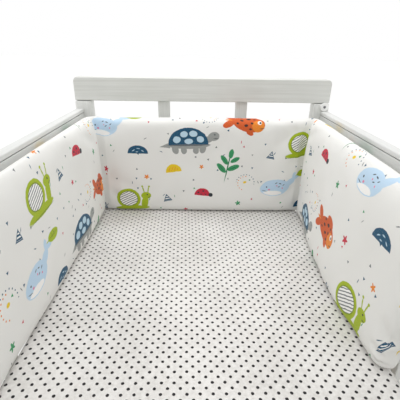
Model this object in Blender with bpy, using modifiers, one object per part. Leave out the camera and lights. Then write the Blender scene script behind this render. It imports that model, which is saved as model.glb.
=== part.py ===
"""Padded cot bumper, the U-shaped bed reducer, standing in a plain wooden cot on its sheeted mattress.

Run with blender --background --python part.py, or from Blender's text editor. Metres, +Z up.
The origin is on the floor under the middle of the cot, and the head end is towards +Y.
"""
import math
from collections import namedtuple

import bmesh
import bpy

# Gaps between pieces that touch
GAP = 0.0003

# Cot, outside and inside
COT_WIDTH = 0.727
COT_LENGTH = 1.300
BED_TOP = 0.520
SIDE_TOP = BED_TOP + 0.300
HEAD_TOP = BED_TOP + 0.386
POST_WIDTH = 0.043
POST_DEPTH = 0.040
SIDE_RAIL_THICK = 0.022
SIDE_RAIL_HEIGHT = 0.045
LOW_RAIL_THICK = 0.0405
LOW_RAIL_HEIGHT = 0.060
LOW_RAIL_TOP = 0.430
HEAD_RAIL_HEIGHT = 0.064
HEAD_RAIL_DEPTH = 0.036
HEAD_RAIL_CORNER = 0.012
END_RAIL_DEPTH = 0.030
MIDDLE_RAIL_TOP = BED_TOP + 0.265
SLAT_WIDTH = 0.034
SLAT_THICK = 0.014
SIDE_SLATS = 12
END_SLATS = 6
HEAD_WINDOW_SLATS = 2
WOOD_BEVEL = 0.0025

# Cap on the right head post
CAP_RADIUS = 0.0120
CAP_DEPTH = 0.004
CAP_SCREW_RADIUS = 0.0035
CAP_SCREW_DEPTH = 0.001
CAP_ABOVE_RAIL = 0.0125
CAP_FROM_EDGE = 0.0145

# Mattress, its fitted sheet and the base that carries them
MATTRESS = (0.612, 1.206, 0.090)
MATTRESS_X = -0.0045
MATTRESS_ROUND = 0.010
MATTRESS_ROUND_STEPS = 3
SHEET_THICK = 0.0015
SHEET_HEM = 0.060
BASE_THICK = 0.009
CLEAT_WIDTH = 0.0217
CLEAT_HEIGHT = 0.024

# Bumper: the line through its middle, then its cross-sections
BUMPER_THICK = 0.042
BUMPER_CORNER = 0.046
BUMPER_WALL_GAP = 0.0005
BUMPER_HEAD_GAP = 0.0104
BUMPER_LEFT_END = -0.262
BUMPER_RIGHT_END = -0.019
BUMPER_END_ROUND = 0.024
BUMPER_END_POWER = 3
BUMPER_END_FLAT = 0.2
BUMPER_END_DROP = 0.020
BUMPER_END_LIFT = 0.012
BUMPER_EDGE_POWER = 12
BUMPER_CREST = -0.4
BUMPER_FALL_POWER = 8
BUMPER_CROWN = 0.10
BUMPER_STEP = 0.050
BUMPER_SIDE_STEPS = 12
CORNER_STEPS = 6
END_STEPS = 4

# Cross-sections of the bumper: thickness, how far the foot stands in, height, how square the top's inner edge
# is, and how far the top falls from its crest to its outer edge. A place is the number of the leg of the U and
# the share of it: 0 left side, 1 left corner, 2 head, 3 right corner, 4 right side
Section = namedtuple("Section", "place thick foot_in height edge fall")
BUMPER_SECTIONS = (
    Section(0.00, 0.0360, 0.0105, 0.2830, 8, 0.002),
    Section(0.30, 0.0350, 0.0095, 0.2850, 8, 0.002),
    Section(0.62, 0.0370, 0.0115, 0.2870, 8, 0.002),
    Section(0.88, 0.0450, 0.0105, 0.2880, 8, 0.001),
    Section(1.10, 0.0490, 0.0060, 0.2880, 9, 0.000),
    Section(1.48, 0.0300, 0.0000, 0.2860, 10, 0.000),
    Section(2.00, 0.0430, 0.0000, 0.2820, 12, -0.008),
    Section(2.07, 0.0480, 0.0000, 0.2810, 12, -0.010),
    Section(2.50, 0.0500, 0.0000, 0.2835, 12, -0.010),
    Section(2.93, 0.0490, 0.0000, 0.2820, 12, -0.010),
    Section(3.00, 0.0440, 0.0000, 0.2830, 12, -0.008),
    Section(3.52, 0.0300, 0.0000, 0.2880, 10, 0.000),
    Section(3.90, 0.0500, 0.0040, 0.2890, 9, 0.000),
    Section(4.10, 0.0530, 0.0085, 0.2890, 8, 0.002),
    Section(4.26, 0.0530, 0.0235, 0.2870, 8, 0.003),
    Section(4.46, 0.0520, 0.0330, 0.2850, 8, 0.003),
    Section(4.62, 0.0520, 0.0385, 0.2835, 8, 0.003),
    Section(4.74, 0.0520, 0.0375, 0.2820, 8, 0.003),
    Section(4.88, 0.0525, 0.0300, 0.2805, 8, 0.003),
    Section(5.00, 0.0530, 0.0265, 0.2790, 8, 0.003),
)

# Finishes: colour, roughness and metallic value
Finish = namedtuple("Finish", "name colour roughness metallic")
COTTON_PRINT = Finish("cotton_print", (0.86, 0.86, 0.84), 0.85, 0.0)
DOTTED_COTTON = Finish("dotted_cotton", (0.83, 0.83, 0.81), 0.85, 0.0)
TICKING = Finish("mattress_ticking", (0.78, 0.77, 0.73), 0.90, 0.0)
PAINTED_WOOD = Finish("painted_wood", (0.80, 0.80, 0.78), 0.45, 0.0)
PLY = Finish("base_ply", (0.66, 0.55, 0.40), 0.60, 0.0)
CAP_PLASTIC = Finish("cap_plastic", (0.85, 0.85, 0.84), 0.35, 0.0)
SCREW_STEEL = Finish("screw_steel", (0.16, 0.16, 0.17), 0.40, 1.0)

HALF_WIDTH = COT_WIDTH / 2
HALF_LENGTH = COT_LENGTH / 2
WALL_X = HALF_WIDTH - SIDE_RAIL_THICK
LOW_WALL_X = HALF_WIDTH - LOW_RAIL_THICK
END_Y = HALF_LENGTH - POST_DEPTH
POST_INNER_X = HALF_WIDTH - POST_WIDTH


def clear_scene():
    """Removes whatever the file holds, so that only the model is left."""
    for old in list(bpy.data.objects):
        bpy.data.objects.remove(old, do_unlink=True)


def material(finish):
    """The Principled material of a finish, made once."""
    made = bpy.data.materials.get(finish.name)
    if made is None:
        made = bpy.data.materials.new(finish.name)
        made.use_nodes = True
        shader = made.node_tree.nodes["Principled BSDF"]
        shader.inputs["Base Color"].default_value = (*finish.colour, 1.0)
        shader.inputs["Roughness"].default_value = finish.roughness
        shader.inputs["Metallic"].default_value = finish.metallic
        made.diffuse_color = (*finish.colour, 1.0)
    return made


def place(obj, name, finish):
    """Names an object, gives it its finish and puts it in the cot's collection."""
    obj.name = name
    obj.data.name = name
    obj.data.materials.clear()
    obj.data.materials.append(material(finish))
    for home in list(obj.users_collection):
        home.objects.unlink(obj)
    PARTS.objects.link(obj)
    return obj


def soften(obj, width, segments=1):
    """Rounds the sharp edges of a piece."""
    bevel = obj.modifiers.new("edges", "BEVEL")
    bevel.width = width
    bevel.segments = segments
    bevel.limit_method = "ANGLE"
    bevel.angle_limit = math.radians(40)
    bevel.harden_normals = False
    return obj


def block(low, high):
    """A box mesh between two corners, as a new object with its scale applied."""
    middle = [(a + b) / 2 for a, b in zip(low, high)]
    bpy.ops.mesh.primitive_cube_add(size=1, location=middle)
    obj = bpy.context.object
    for vertex in obj.data.vertices:
        vertex.co = [c * (b - a) for c, a, b in zip(vertex.co, low, high)]
    return obj


def bar(name, low, high, finish=PAINTED_WOOD, bevel=WOOD_BEVEL):
    """A straight piece of wood between two corners, its edges eased."""
    return soften(place(block(low, high), name, finish), bevel)


def spaced(count, low, high, width):
    """Middles of like pieces that leave equal gaps between two faces."""
    gap = (high - low - count * width) / (count + 1)
    return [low + gap * (i + 1) + width * (i + 0.5) for i in range(count)]


def mirrored(side, near, far):
    """A range of X on the right side, or its mirror image on the left."""
    return (near, far) if side > 0 else (-far, -near)


def build_posts():
    """Four posts that are also the legs."""
    tops = {"head": HEAD_TOP - HEAD_RAIL_HEIGHT - GAP, "foot": SIDE_TOP - SIDE_RAIL_HEIGHT - GAP}
    faces = {"head": (END_Y, HALF_LENGTH), "foot": (-HALF_LENGTH, -END_Y)}
    for end, (y0, y1) in faces.items():
        for hand, side in (("left", -1), ("right", 1)):
            x0, x1 = mirrored(side, POST_INNER_X, HALF_WIDTH)
            bar(f"post_{end}_{hand}", (x0, y0, 0.0), (x1, y1, tops[end]))


def build_sides():
    """A top rail, a low rail, the slats between them and a cleat for the base, on each side."""
    rail_y = END_Y - GAP
    low_bottom = LOW_RAIL_TOP - LOW_RAIL_HEIGHT
    top_bottom = SIDE_TOP - SIDE_RAIL_HEIGHT
    slat_x = (WALL_X + HALF_WIDTH) / 2
    base_bottom = base_top() - BASE_THICK
    for hand, side in (("left", -1), ("right", 1)):
        x0, x1 = mirrored(side, WALL_X, HALF_WIDTH)
        bar(f"side_rail_{hand}", (x0, -rail_y, top_bottom), (x1, rail_y, SIDE_TOP))
        x0, x1 = mirrored(side, LOW_WALL_X, HALF_WIDTH)
        bar(f"side_low_rail_{hand}", (x0, -rail_y, low_bottom), (x1, rail_y, LOW_RAIL_TOP))
        s0, s1 = mirrored(side, slat_x - SLAT_THICK / 2, slat_x + SLAT_THICK / 2)
        for i, y in enumerate(spaced(SIDE_SLATS, -rail_y, rail_y, SLAT_WIDTH), start=1):
            low = (s0, y - SLAT_WIDTH / 2, LOW_RAIL_TOP + GAP)
            high = (s1, y + SLAT_WIDTH / 2, top_bottom - GAP)
            bar(f"side_slat_{hand}_{i:02d}", low, high)
        c0, c1 = mirrored(side, LOW_WALL_X - GAP - CLEAT_WIDTH, LOW_WALL_X - GAP)
        cleat_top = base_bottom - GAP
        low = (c0, -MATTRESS[1] / 2, cleat_top - CLEAT_HEIGHT)
        bar(f"base_cleat_{hand}", low, (c1, MATTRESS[1] / 2, cleat_top))


def end_slats(name, y, bottom, top, count):
    """Upright slats between the posts of one end."""
    for i, x in enumerate(spaced(count, -POST_INNER_X, POST_INNER_X, SLAT_WIDTH), start=1):
        low = (x - SLAT_WIDTH / 2, y - SLAT_THICK / 2, bottom + GAP)
        bar(f"{name}_{i}", low, (x + SLAT_WIDTH / 2, y + SLAT_THICK / 2, top - GAP))


def build_head():
    """Head end: a deep top rail over the posts, a window with two short slats, and slats below."""
    y = (END_Y + HALF_LENGTH) / 2
    half_rail = END_RAIL_DEPTH / 2
    reach = POST_INNER_X - GAP
    rail_bottom = HEAD_TOP - HEAD_RAIL_HEIGHT
    middle_bottom = MIDDLE_RAIL_TOP - SIDE_RAIL_HEIGHT
    low_bottom = LOW_RAIL_TOP - LOW_RAIL_HEIGHT

    rail = block((-HALF_WIDTH, y - HEAD_RAIL_DEPTH / 2, rail_bottom), (HALF_WIDTH, y + HEAD_RAIL_DEPTH / 2, HEAD_TOP))
    shape = bmesh.new()
    shape.from_mesh(rail.data)
    upper = [e for e in shape.edges if all(v.co.z > 0 for v in e.verts) and e.verts[0].co.x * e.verts[1].co.x > 0]
    bmesh.ops.bevel(shape, geom=upper, offset=HEAD_RAIL_CORNER, segments=4, profile=0.5, affect="EDGES")
    shape.to_mesh(rail.data)
    shape.free()
    soften(place(rail, "head_top_rail", PAINTED_WOOD), WOOD_BEVEL)

    bar("head_middle_rail", (-reach, y - half_rail, middle_bottom), (reach, y + half_rail, MIDDLE_RAIL_TOP))
    bar("head_low_rail", (-reach, y - half_rail, low_bottom), (reach, y + half_rail, LOW_RAIL_TOP))
    end_slats("head_window_slat", y, MIDDLE_RAIL_TOP, rail_bottom, HEAD_WINDOW_SLATS)
    end_slats("head_slat", y, LOW_RAIL_TOP, middle_bottom, END_SLATS)


def build_foot():
    """Foot end: a top rail level with the sides, a low rail and plain slats."""
    y = -(END_Y + HALF_LENGTH) / 2
    half_rail = END_RAIL_DEPTH / 2
    reach = POST_INNER_X - GAP
    top_bottom = SIDE_TOP - SIDE_RAIL_HEIGHT
    low_bottom = LOW_RAIL_TOP - LOW_RAIL_HEIGHT
    bar("foot_top_rail", (-HALF_WIDTH, -HALF_LENGTH, top_bottom), (HALF_WIDTH, -END_Y, SIDE_TOP))
    bar("foot_low_rail", (-reach, y - half_rail, low_bottom), (reach, y + half_rail, LOW_RAIL_TOP))
    end_slats("foot_slat", y, LOW_RAIL_TOP, top_bottom, END_SLATS)


def disc(name, x, z, front, radius, depth, finish, sides=24):
    """A short round piece whose axis is along Y, with its front face at the given Y."""
    bpy.ops.mesh.primitive_cylinder_add(vertices=sides, radius=radius, depth=depth)
    obj = bpy.context.object
    obj.location = (x, front + depth / 2, z)
    obj.rotation_euler = (math.radians(90), 0.0, 0.0)
    return place(obj, name, finish)


def build_cap():
    """The round cap with a dark screw on the inner face of the right head post, over the side rail."""
    x = HALF_WIDTH - CAP_FROM_EDGE
    z = SIDE_TOP + CAP_ABOVE_RAIL
    cap_front = END_Y - GAP - CAP_DEPTH
    soften(disc("post_cap", x, z, cap_front, CAP_RADIUS, CAP_DEPTH, CAP_PLASTIC), 0.001)
    disc("post_cap_screw", x, z, cap_front - GAP - CAP_SCREW_DEPTH, CAP_SCREW_RADIUS, CAP_SCREW_DEPTH, SCREW_STEEL, 12)


def sheet_height():
    """Height of the sheeted mattress."""
    return MATTRESS[2] + 2 * (SHEET_THICK + GAP)


def base_top():
    """Height of the base's upper face, a gap under the sheet's hem."""
    return BED_TOP - sheet_height() - GAP


def rounded_block(name, low, high, radius, finish):
    """A box with all its edges rounded, for the mattress and the sheet over it."""
    obj = block(low, high)
    shape = bmesh.new()
    shape.from_mesh(obj.data)
    bmesh.ops.bevel(shape, geom=shape.edges[:], offset=radius, segments=MATTRESS_ROUND_STEPS, profile=0.5, affect="EDGES")
    shape.to_mesh(obj.data)
    shape.free()
    return place(obj, name, finish)


def build_bed():
    """The base, the mattress and the fitted sheet, which is tucked under the mattress all round."""
    top = base_top()
    half_base = (LOW_WALL_X - 2 * GAP, END_Y - 0.005)
    bar("bed_base", (-half_base[0], -half_base[1], top - BASE_THICK), (*half_base, top), PLY, 0.001)

    skin = SHEET_THICK + GAP
    half = [size / 2 for size in MATTRESS[:2]]
    bottom = BED_TOP - skin - MATTRESS[2]
    low, high = (MATTRESS_X - half[0], -half[1], bottom), (MATTRESS_X + half[0], half[1], BED_TOP - skin)
    rounded_block("mattress", low, high, MATTRESS_ROUND, TICKING)

    outer = [size + skin for size in half]
    radius = MATTRESS_ROUND + skin
    low, high = (MATTRESS_X - outer[0], -outer[1], BED_TOP - sheet_height()), (MATTRESS_X + outer[0], outer[1], BED_TOP)
    sheet = rounded_block("fitted_sheet", low, high, radius, DOTTED_COTTON)
    shape = bmesh.new()
    shape.from_mesh(sheet.data)
    floor = min(shape.faces, key=lambda f: f.calc_center_median().z)
    bmesh.ops.inset_region(shape, faces=[floor], thickness=SHEET_HEM - radius, use_even_offset=True)
    bmesh.ops.delete(shape, geom=[floor], context="FACES")
    shape.to_mesh(sheet.data)
    shape.free()
    cloth = sheet.modifiers.new("cloth", "SOLIDIFY")
    cloth.thickness = SHEET_THICK
    cloth.offset = -1.0
    cloth.use_even_offset = True


def bumper_route():
    """The legs of the line through the bumper's middle, from its left end.

    A straight leg has its length, start and direction, a turn its length, centre and first angle.
    """
    middle_x = WALL_X - BUMPER_WALL_GAP - BUMPER_THICK / 2
    middle_y = END_Y - BUMPER_HEAD_GAP - BUMPER_THICK / 2
    turn_y = middle_y - BUMPER_CORNER
    turn_x = middle_x - BUMPER_CORNER
    quarter = BUMPER_CORNER * math.pi / 2
    return (
        ("run", turn_y - BUMPER_LEFT_END, (-middle_x, BUMPER_LEFT_END), (0.0, 1.0)),
        ("turn", quarter, (-turn_x, turn_y), math.pi),
        ("run", 2 * turn_x, (-turn_x, middle_y), (1.0, 0.0)),
        ("turn", quarter, (turn_x, turn_y), math.pi / 2),
        ("run", turn_y - BUMPER_RIGHT_END, (middle_x, turn_y), (0.0, -1.0)),
    )


def bumper_length():
    """Length of the line through the bumper's middle."""
    return sum(length for _, length, _, _ in bumper_route())


def bumper_leg(along):
    """The leg of the U at a distance along the bumper: its number, its route and the distance into it."""
    legs = bumper_route()
    for number, leg in enumerate(legs):
        if along <= leg[1] or number == len(legs) - 1:
            return number, leg, along
        along -= leg[1]


def bumper_place(along):
    """Point on the line through the bumper's middle, and the direction out of the bed there."""
    _, (kind, _, origin, way), along = bumper_leg(along)
    if kind == "run":
        point = (origin[0] + way[0] * along, origin[1] + way[1] * along)
        return point, (-way[1], way[0])
    angle = way - along / BUMPER_CORNER
    outward = (math.cos(angle), math.sin(angle))
    return (origin[0] + BUMPER_CORNER * outward[0], origin[1] + BUMPER_CORNER * outward[1]), outward


def bumper_stations():
    """Distances along the bumper of its cross-sections, closer at the round ends and corners."""
    total = bumper_length()
    ends = [BUMPER_END_ROUND * (1 - math.cos(math.pi / 2 * i / END_STEPS)) for i in range(END_STEPS)]
    stations = set(ends) | {total - d for d in ends}
    start = 0.0
    for kind, length, _, _ in bumper_route():
        steps = CORNER_STEPS if kind == "turn" else round(length / BUMPER_STEP)
        stations |= {start + length * i / steps for i in range(steps + 1)}
        start += length
    kept = []
    for station in sorted(stations - {0.0, total}):
        if not kept or station - kept[-1] > BUMPER_END_ROUND / 20:
            kept.append(station)
    return [0.0] + [s for s in kept if 0.0005 < s < total - 0.0005] + [total]


def bumper_section(along):
    """The cross-section's numbers at a distance along the bumper, eased between the rows."""
    number, leg, into = bumper_leg(along)
    place_along = number + into / leg[1]
    rows = BUMPER_SECTIONS
    for before, after in zip(rows, rows[1:]):
        if place_along <= after.place or after is rows[-1]:
            break
    share = min(max((place_along - before.place) / (after.place - before.place), 0.0), 1.0)
    share = share * share * (3 - 2 * share)
    return [a + (b - a) * share for a, b in zip(before[1:], after[1:])]


def bumper_ring(along):
    """One closed cross-section of the bumper, as world points."""
    (x, y), (out_x, out_y) = bumper_place(along)
    thick, foot_in, height, edge, fall = bumper_section(along)
    from_end = min(along, bumper_length() - along) / BUMPER_END_ROUND
    power = BUMPER_END_POWER
    end = max(1 - (1 - min(from_end, 1.0)) ** power, BUMPER_END_FLAT ** power) ** (1 / power)
    bottom = GAP + BUMPER_END_LIFT * (1 - end)
    top = height - BUMPER_END_DROP * (1 - end)
    shift = (BUMPER_THICK - thick) / 2
    ring = []
    for i in range(2 * BUMPER_SIDE_STEPS):
        angle = -math.pi / 2 + math.pi * i / BUMPER_SIDE_STEPS
        level = math.sin(angle)
        side = -1 if i < BUMPER_SIDE_STEPS else 1
        crown = (1 + BUMPER_CROWN * (1 - level * level)) / (1 + BUMPER_CROWN)
        square = edge if side < 0 < level else BUMPER_EDGE_POWER
        half = thick / 2 * end * crown * math.sqrt(max(1 - abs(level) ** square, 0.0))
        share = (level + 1) / 2
        out = shift + side * half - foot_in * (1 - share)
        away = (side * half / (thick / 2) - BUMPER_CREST) / (1 - BUMPER_CREST)
        drop = fall * away * away * max(level, 0.0) ** BUMPER_FALL_POWER
        ring.append((x + out_x * out, y + out_y * out, BED_TOP + bottom + (top - bottom) * share - drop))
    return ring


def build_bumper():
    """The bumper as one filled solid, lofted through its cross-sections and closed at its ends."""
    shape = bmesh.new()
    rings = [[shape.verts.new(point) for point in bumper_ring(along)] for along in bumper_stations()]
    count = len(rings[0])
    for a, b in zip(rings, rings[1:]):
        for i in range(count):
            j = (i + 1) % count
            shape.faces.new((a[i], a[j], b[j], b[i]))
    shape.faces.new(rings[0][::-1])
    shape.faces.new(rings[-1])
    bmesh.ops.recalc_face_normals(shape, faces=shape.faces[:])
    mesh = bpy.data.meshes.new("bumper")
    shape.to_mesh(mesh)
    shape.free()
    mesh.shade_smooth()
    obj = bpy.data.objects.new("bumper", mesh)
    bpy.context.scene.collection.objects.link(obj)
    place(obj, "bumper", COTTON_PRINT)


clear_scene()
PARTS = bpy.data.collections.new("cot_with_bumper")
bpy.context.scene.collection.children.link(PARTS)
build_posts()
build_sides()
build_head()
build_foot()
build_cap()
build_bed()
build_bumper()
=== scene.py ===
"""Looks of the padded cot bumper, the U-shaped bed reducer, and of the plain cot that it stands in.

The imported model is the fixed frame: metres, +Z up, the origin on the floor under the cot, the head end towards
+Y. Every piece here is built over its CAD node, finer, and wears a material made of nodes alone.
"""

import cmath
import logging
import math
from collections.abc import Callable, Iterable, Sequence
from dataclasses import dataclass
from enum import Enum
from functools import cached_property

import bmesh
import bpy
from mathutils import Euler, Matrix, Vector, noise


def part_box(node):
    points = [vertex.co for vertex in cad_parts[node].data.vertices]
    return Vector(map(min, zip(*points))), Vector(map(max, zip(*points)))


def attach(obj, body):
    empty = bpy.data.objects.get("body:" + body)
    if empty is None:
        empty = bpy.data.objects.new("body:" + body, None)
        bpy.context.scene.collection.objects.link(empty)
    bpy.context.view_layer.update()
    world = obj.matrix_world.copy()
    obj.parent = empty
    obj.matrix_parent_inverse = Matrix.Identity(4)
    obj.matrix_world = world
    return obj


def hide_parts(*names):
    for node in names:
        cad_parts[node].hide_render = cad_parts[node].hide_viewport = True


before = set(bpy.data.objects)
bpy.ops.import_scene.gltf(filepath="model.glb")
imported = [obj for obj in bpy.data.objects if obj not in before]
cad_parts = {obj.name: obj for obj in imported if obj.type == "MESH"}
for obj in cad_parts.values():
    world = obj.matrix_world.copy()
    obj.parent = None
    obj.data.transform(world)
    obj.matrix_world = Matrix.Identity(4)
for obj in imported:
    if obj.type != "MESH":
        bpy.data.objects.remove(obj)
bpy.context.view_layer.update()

Colour = tuple[float, float, float, float]
Point = tuple[float, float, float]
Spot = Callable[[complex], complex]

LOG = logging.getLogger("cot_bumper")
BODY = "root"
PRINT_MAP = "print"
BAKE_MAP = "OFBake"
GAP = 0.0003
MILLIMETRES = 1000.0


def srgb(red: int, green: int, blue: int) -> Colour:
    """Turns a colour as a screen shows it into the linear one that a shader takes.

    Args:
        red: Red, 0 to 255.
        green: Green, 0 to 255.
        blue: Blue, 0 to 255.

    Returns:
        The linear colour, with full alpha.
    """
    def line(value: int) -> float:
        """The linear value of one channel."""
        share = value / 255
        return share / 12.92 if share <= 0.04045 else ((share + 0.055) / 1.055) ** 2.4

    return (line(red), line(green), line(blue), 1.0)


class Socket:
    """An output socket. Python's operators on it add Math nodes, or Vector Math ones where an operand is a vector."""

    def __init__(self, graph: "Graph", source: bpy.types.NodeSocket) -> None:
        """Wraps a socket.

        Args:
            graph: The graph that the socket belongs to.
            source: The output socket.
        """
        self.graph = graph
        self.source = source

    @property
    def is_vector(self) -> bool:
        """True for a vector or a colour."""
        return self.source.type in {"VECTOR", "RGBA"}

    def __add__(self, other: "Operand") -> "Socket":
        """The sum."""
        return self.graph.calculate("ADD", self, other)

    def __radd__(self, other: "Operand") -> "Socket":
        """The sum, with the number first."""
        return self.graph.calculate("ADD", other, self)

    def __sub__(self, other: "Operand") -> "Socket":
        """The difference."""
        return self.graph.calculate("SUBTRACT", self, other)

    def __rsub__(self, other: "Operand") -> "Socket":
        """The difference, with the number first."""
        return self.graph.calculate("SUBTRACT", other, self)

    def __mul__(self, other: "Operand") -> "Socket":
        """The product."""
        return self.graph.calculate("MULTIPLY", self, other)

    def __rmul__(self, other: "Operand") -> "Socket":
        """The product, with the number first."""
        return self.graph.calculate("MULTIPLY", other, self)

    def __truediv__(self, other: "Operand") -> "Socket":
        """The quotient."""
        return self.graph.calculate("DIVIDE", self, other)

    def __rtruediv__(self, other: "Operand") -> "Socket":
        """The quotient, with the number first."""
        return self.graph.calculate("DIVIDE", other, self)

    def __neg__(self) -> "Socket":
        """The value with its sign turned."""
        return self.graph.calculate("MULTIPLY", self, -1.0)

    def __abs__(self) -> "Socket":
        """The value without its sign."""
        return self.graph.calculate("ABSOLUTE", self)

    def __or__(self, other: "Operand") -> "Socket":
        """The union of two shapes, each given as a distance from its edge."""
        return self.graph.calculate("MINIMUM", self, other)

    def __and__(self, other: "Operand") -> "Socket":
        """The overlap of two shapes, each given as a distance from its edge."""
        return self.graph.calculate("MAXIMUM", self, other)

    @property
    def length(self) -> "Socket":
        """Length of a vector."""
        return self.graph.calculate("LENGTH", self)

    def part(self, axis: int) -> "Socket":
        """One of the three numbers of a vector or a colour."""
        kind = "ShaderNodeSeparateColor" if self.source.type == "RGBA" else "ShaderNodeSeparateXYZ"
        return self.graph.node(kind, {}, {0: self}, axis)


Operand = Socket | float | Sequence[float]


class Graph:
    """The nodes of one material."""

    def __init__(self, name: str) -> None:
        """Starts a material with a Principled shader.

        Args:
            name: The material's name.
        """
        self.material = bpy.data.materials.new(name)
        self.material.use_nodes = True
        self.tree = self.material.node_tree
        self.shader = self.tree.nodes["Principled BSDF"]

    @classmethod
    def of(cls, tree: bpy.types.NodeTree) -> "Graph":
        """A graph over a tree that is there already, such as the world's.

        Args:
            tree: The tree.

        Returns:
            The graph, without a material.
        """
        graph = cls.__new__(cls)
        graph.tree = tree
        return graph

    def feed(self, target: bpy.types.NodeSocket, value: Operand) -> None:
        """Links a socket to an input, or sets the input's own value.

        Args:
            target: The input socket.
            value: A wrapped socket, a number or a row of numbers.
        """
        if isinstance(value, Socket):
            self.tree.links.new(value.source, target)
        else:
            target.default_value = value

    def node(self, kind: str, settings: dict, inputs: dict, output: int | str = 0) -> Socket:
        """Adds any node.

        Args:
            kind: The node's type.
            settings: Its settings, set first; stops is a ramp's list of (place, colour).
            inputs: A value or a link for each socket, by name or number.
            output: The output socket to give back.

        Returns:
            The output socket.
        """
        made = self.tree.nodes.new(kind)
        for name, value in settings.items():
            if name == "stops":
                ramp = made.color_ramp.elements
                while len(ramp) < len(value):
                    ramp.new(0.5)
                for stop, (place, colour) in zip(ramp, value):
                    stop.position, stop.color = place, colour
            elif name == "interpolation":
                made.color_ramp.interpolation = value
            else:
                setattr(made, name, value)
        for name, value in inputs.items():
            self.feed(made.inputs[name], value)
        return Socket(self, made.outputs[output])

    def calculate(self, operation: str, *operands: Operand, clamp: bool = False) -> Socket:
        """Adds a Math node, or a Vector Math one where an operand is a vector.

        Args:
            operation: The node's operation.
            operands: Its values or links, in order.
            clamp: Keeps a number between 0 and 1.

        Returns:
            The result.
        """
        vectors = any(o.is_vector if isinstance(o, Socket) else hasattr(o, "__len__") for o in operands)
        if not vectors:
            settings = {"operation": operation, "use_clamp": clamp}
            return self.node("ShaderNodeMath", settings, dict(enumerate(operands)))
        plain = {i: (o,) * 3 if isinstance(o, (int, float)) else o for i, o in enumerate(operands)}
        output = "Value" if operation in {"LENGTH", "DOT_PRODUCT", "DISTANCE"} else "Vector"
        return self.node("ShaderNodeVectorMath", {"operation": operation}, plain, output)

    def spread(self, value: Operand, gain: Operand, lift: Operand, clamp: bool = False) -> Socket:
        """A number times a gain, plus a lift."""
        return self.calculate("MULTIPLY_ADD", value, gain, lift, clamp=clamp)

    def vector(self, *parts: Operand) -> Socket:
        """Puts three numbers together as a vector."""
        return self.node("ShaderNodeCombineXYZ", {}, dict(enumerate(parts)))

    def over(self, mask: Operand, base: Operand, ink: Operand) -> Socket:
        """Lays one colour over another where the mask is 1."""
        return self.node("ShaderNodeMix", {"data_type": "RGBA"}, {0: mask, 6: base, 7: ink}, 2)

    def place(self) -> Socket:
        """The point in the object's own space, in metres."""
        return self.node("ShaderNodeTexCoord", {}, {}, "Object")

    def noise(self, point: Operand, scale: float, detail: float = 2.0, output: str = "Fac") -> Socket:
        """Adds a noise texture.

        Args:
            point: Where it is read.
            scale: Its waves in each unit of the point.
            detail: Its finer layers.
            output: Fac or Color.

        Returns:
            Its value or its colour.
        """
        return self.node("ShaderNodeTexNoise", {}, {"Vector": point, "Scale": scale, "Detail": detail}, output)

    def finish(self, colour: Operand, roughness: Operand, height: Socket | None = None,
               depth: float = 0.0002, **constants: float) -> bpy.types.Material:
        """Gives the shader what the nodes worked out.

        Args:
            colour: Base colour.
            roughness: Roughness.
            height: Relief, 0 to 1, or None.
            depth: How deep the relief is, in metres.
            constants: Numbers for the shader's other sockets, by name with _ for a space.

        Returns:
            The material.
        """
        self.feed(self.shader.inputs["Base Color"], colour)
        self.feed(self.shader.inputs["Roughness"], roughness)
        if height is not None:
            relief = self.node("ShaderNodeBump", {}, {"Strength": 1.0, "Distance": depth, "Height": height})
            self.feed(self.shader.inputs["Normal"], relief)
        for name, value in constants.items():
            self.shader.inputs[name.replace("_", " ")].default_value = value
        return self.material


class Grain(Enum):
    """The axis that a piece of wood, and the brush that painted it, runs along."""

    ACROSS = 0
    LENGTHWISE = 1
    UPRIGHT = 2


@dataclass(frozen=True)
class PaintedWood:
    """Warm white paint, brushed along the grain, on the cot's wood."""

    grain: Grain
    name: str = "painted_wood"
    colour: Colour = srgb(222, 223, 219)
    shade: Colour = srgb(208, 209, 204)
    roughness: float = 0.50
    uneven: float = 0.18
    along: float = 5.0
    across: float = 210.0
    patch_scale: float = 9.0
    streak_share: float = 0.65
    contrast: tuple[float, float] = (3.2, -1.1)
    relief: float = 0.00035

    def material(self) -> bpy.types.Material:
        """The material, with the brush's streaks and a faint waviness of the grain under the paint.

        Returns:
            The material, which every piece of the same grain shares.
        """
        name = f"{self.name}_{self.grain.name.lower()}"
        made = bpy.data.materials.get(name)
        if made:
            return made
        graph = Graph(name)
        scale = [self.across] * 3
        scale[self.grain.value] = self.along
        point = graph.place() * tuple(scale)
        streaks = graph.noise(point, 1.0, detail=3.0)
        patches = graph.noise(graph.place(), self.patch_scale)
        blend = streaks * self.streak_share + patches * (1 - self.streak_share)
        colour = graph.over(graph.spread(blend, *self.contrast, clamp=True), self.shade, self.colour)
        rough = graph.spread(streaks, self.uneven, self.roughness - self.uneven / 2)
        return graph.finish(colour, rough, streaks, self.relief, Specular_IOR_Level=0.4)


# The side top rails wear a copy of the wood's paint whose tone is set for the strong light on their tops: painted
# shade.
SHADED_RAIL_PAINT = PaintedWood(Grain.LENGTHWISE, "shaded_rail_paint", srgb(219, 220, 218), srgb(210, 211, 208))
PAINT = {
    Grain.ACROSS: PaintedWood(Grain.ACROSS),
    Grain.LENGTHWISE: PaintedWood(Grain.LENGTHWISE),
    # The upright pieces, posts and slats, wear a lighter copy of the same paint, which stands in for the light bounced
    # onto them: painted light.
    Grain.UPRIGHT: PaintedWood(Grain.UPRIGHT, colour=srgb(230, 231, 228), shade=srgb(217, 218, 214)),
}


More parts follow.
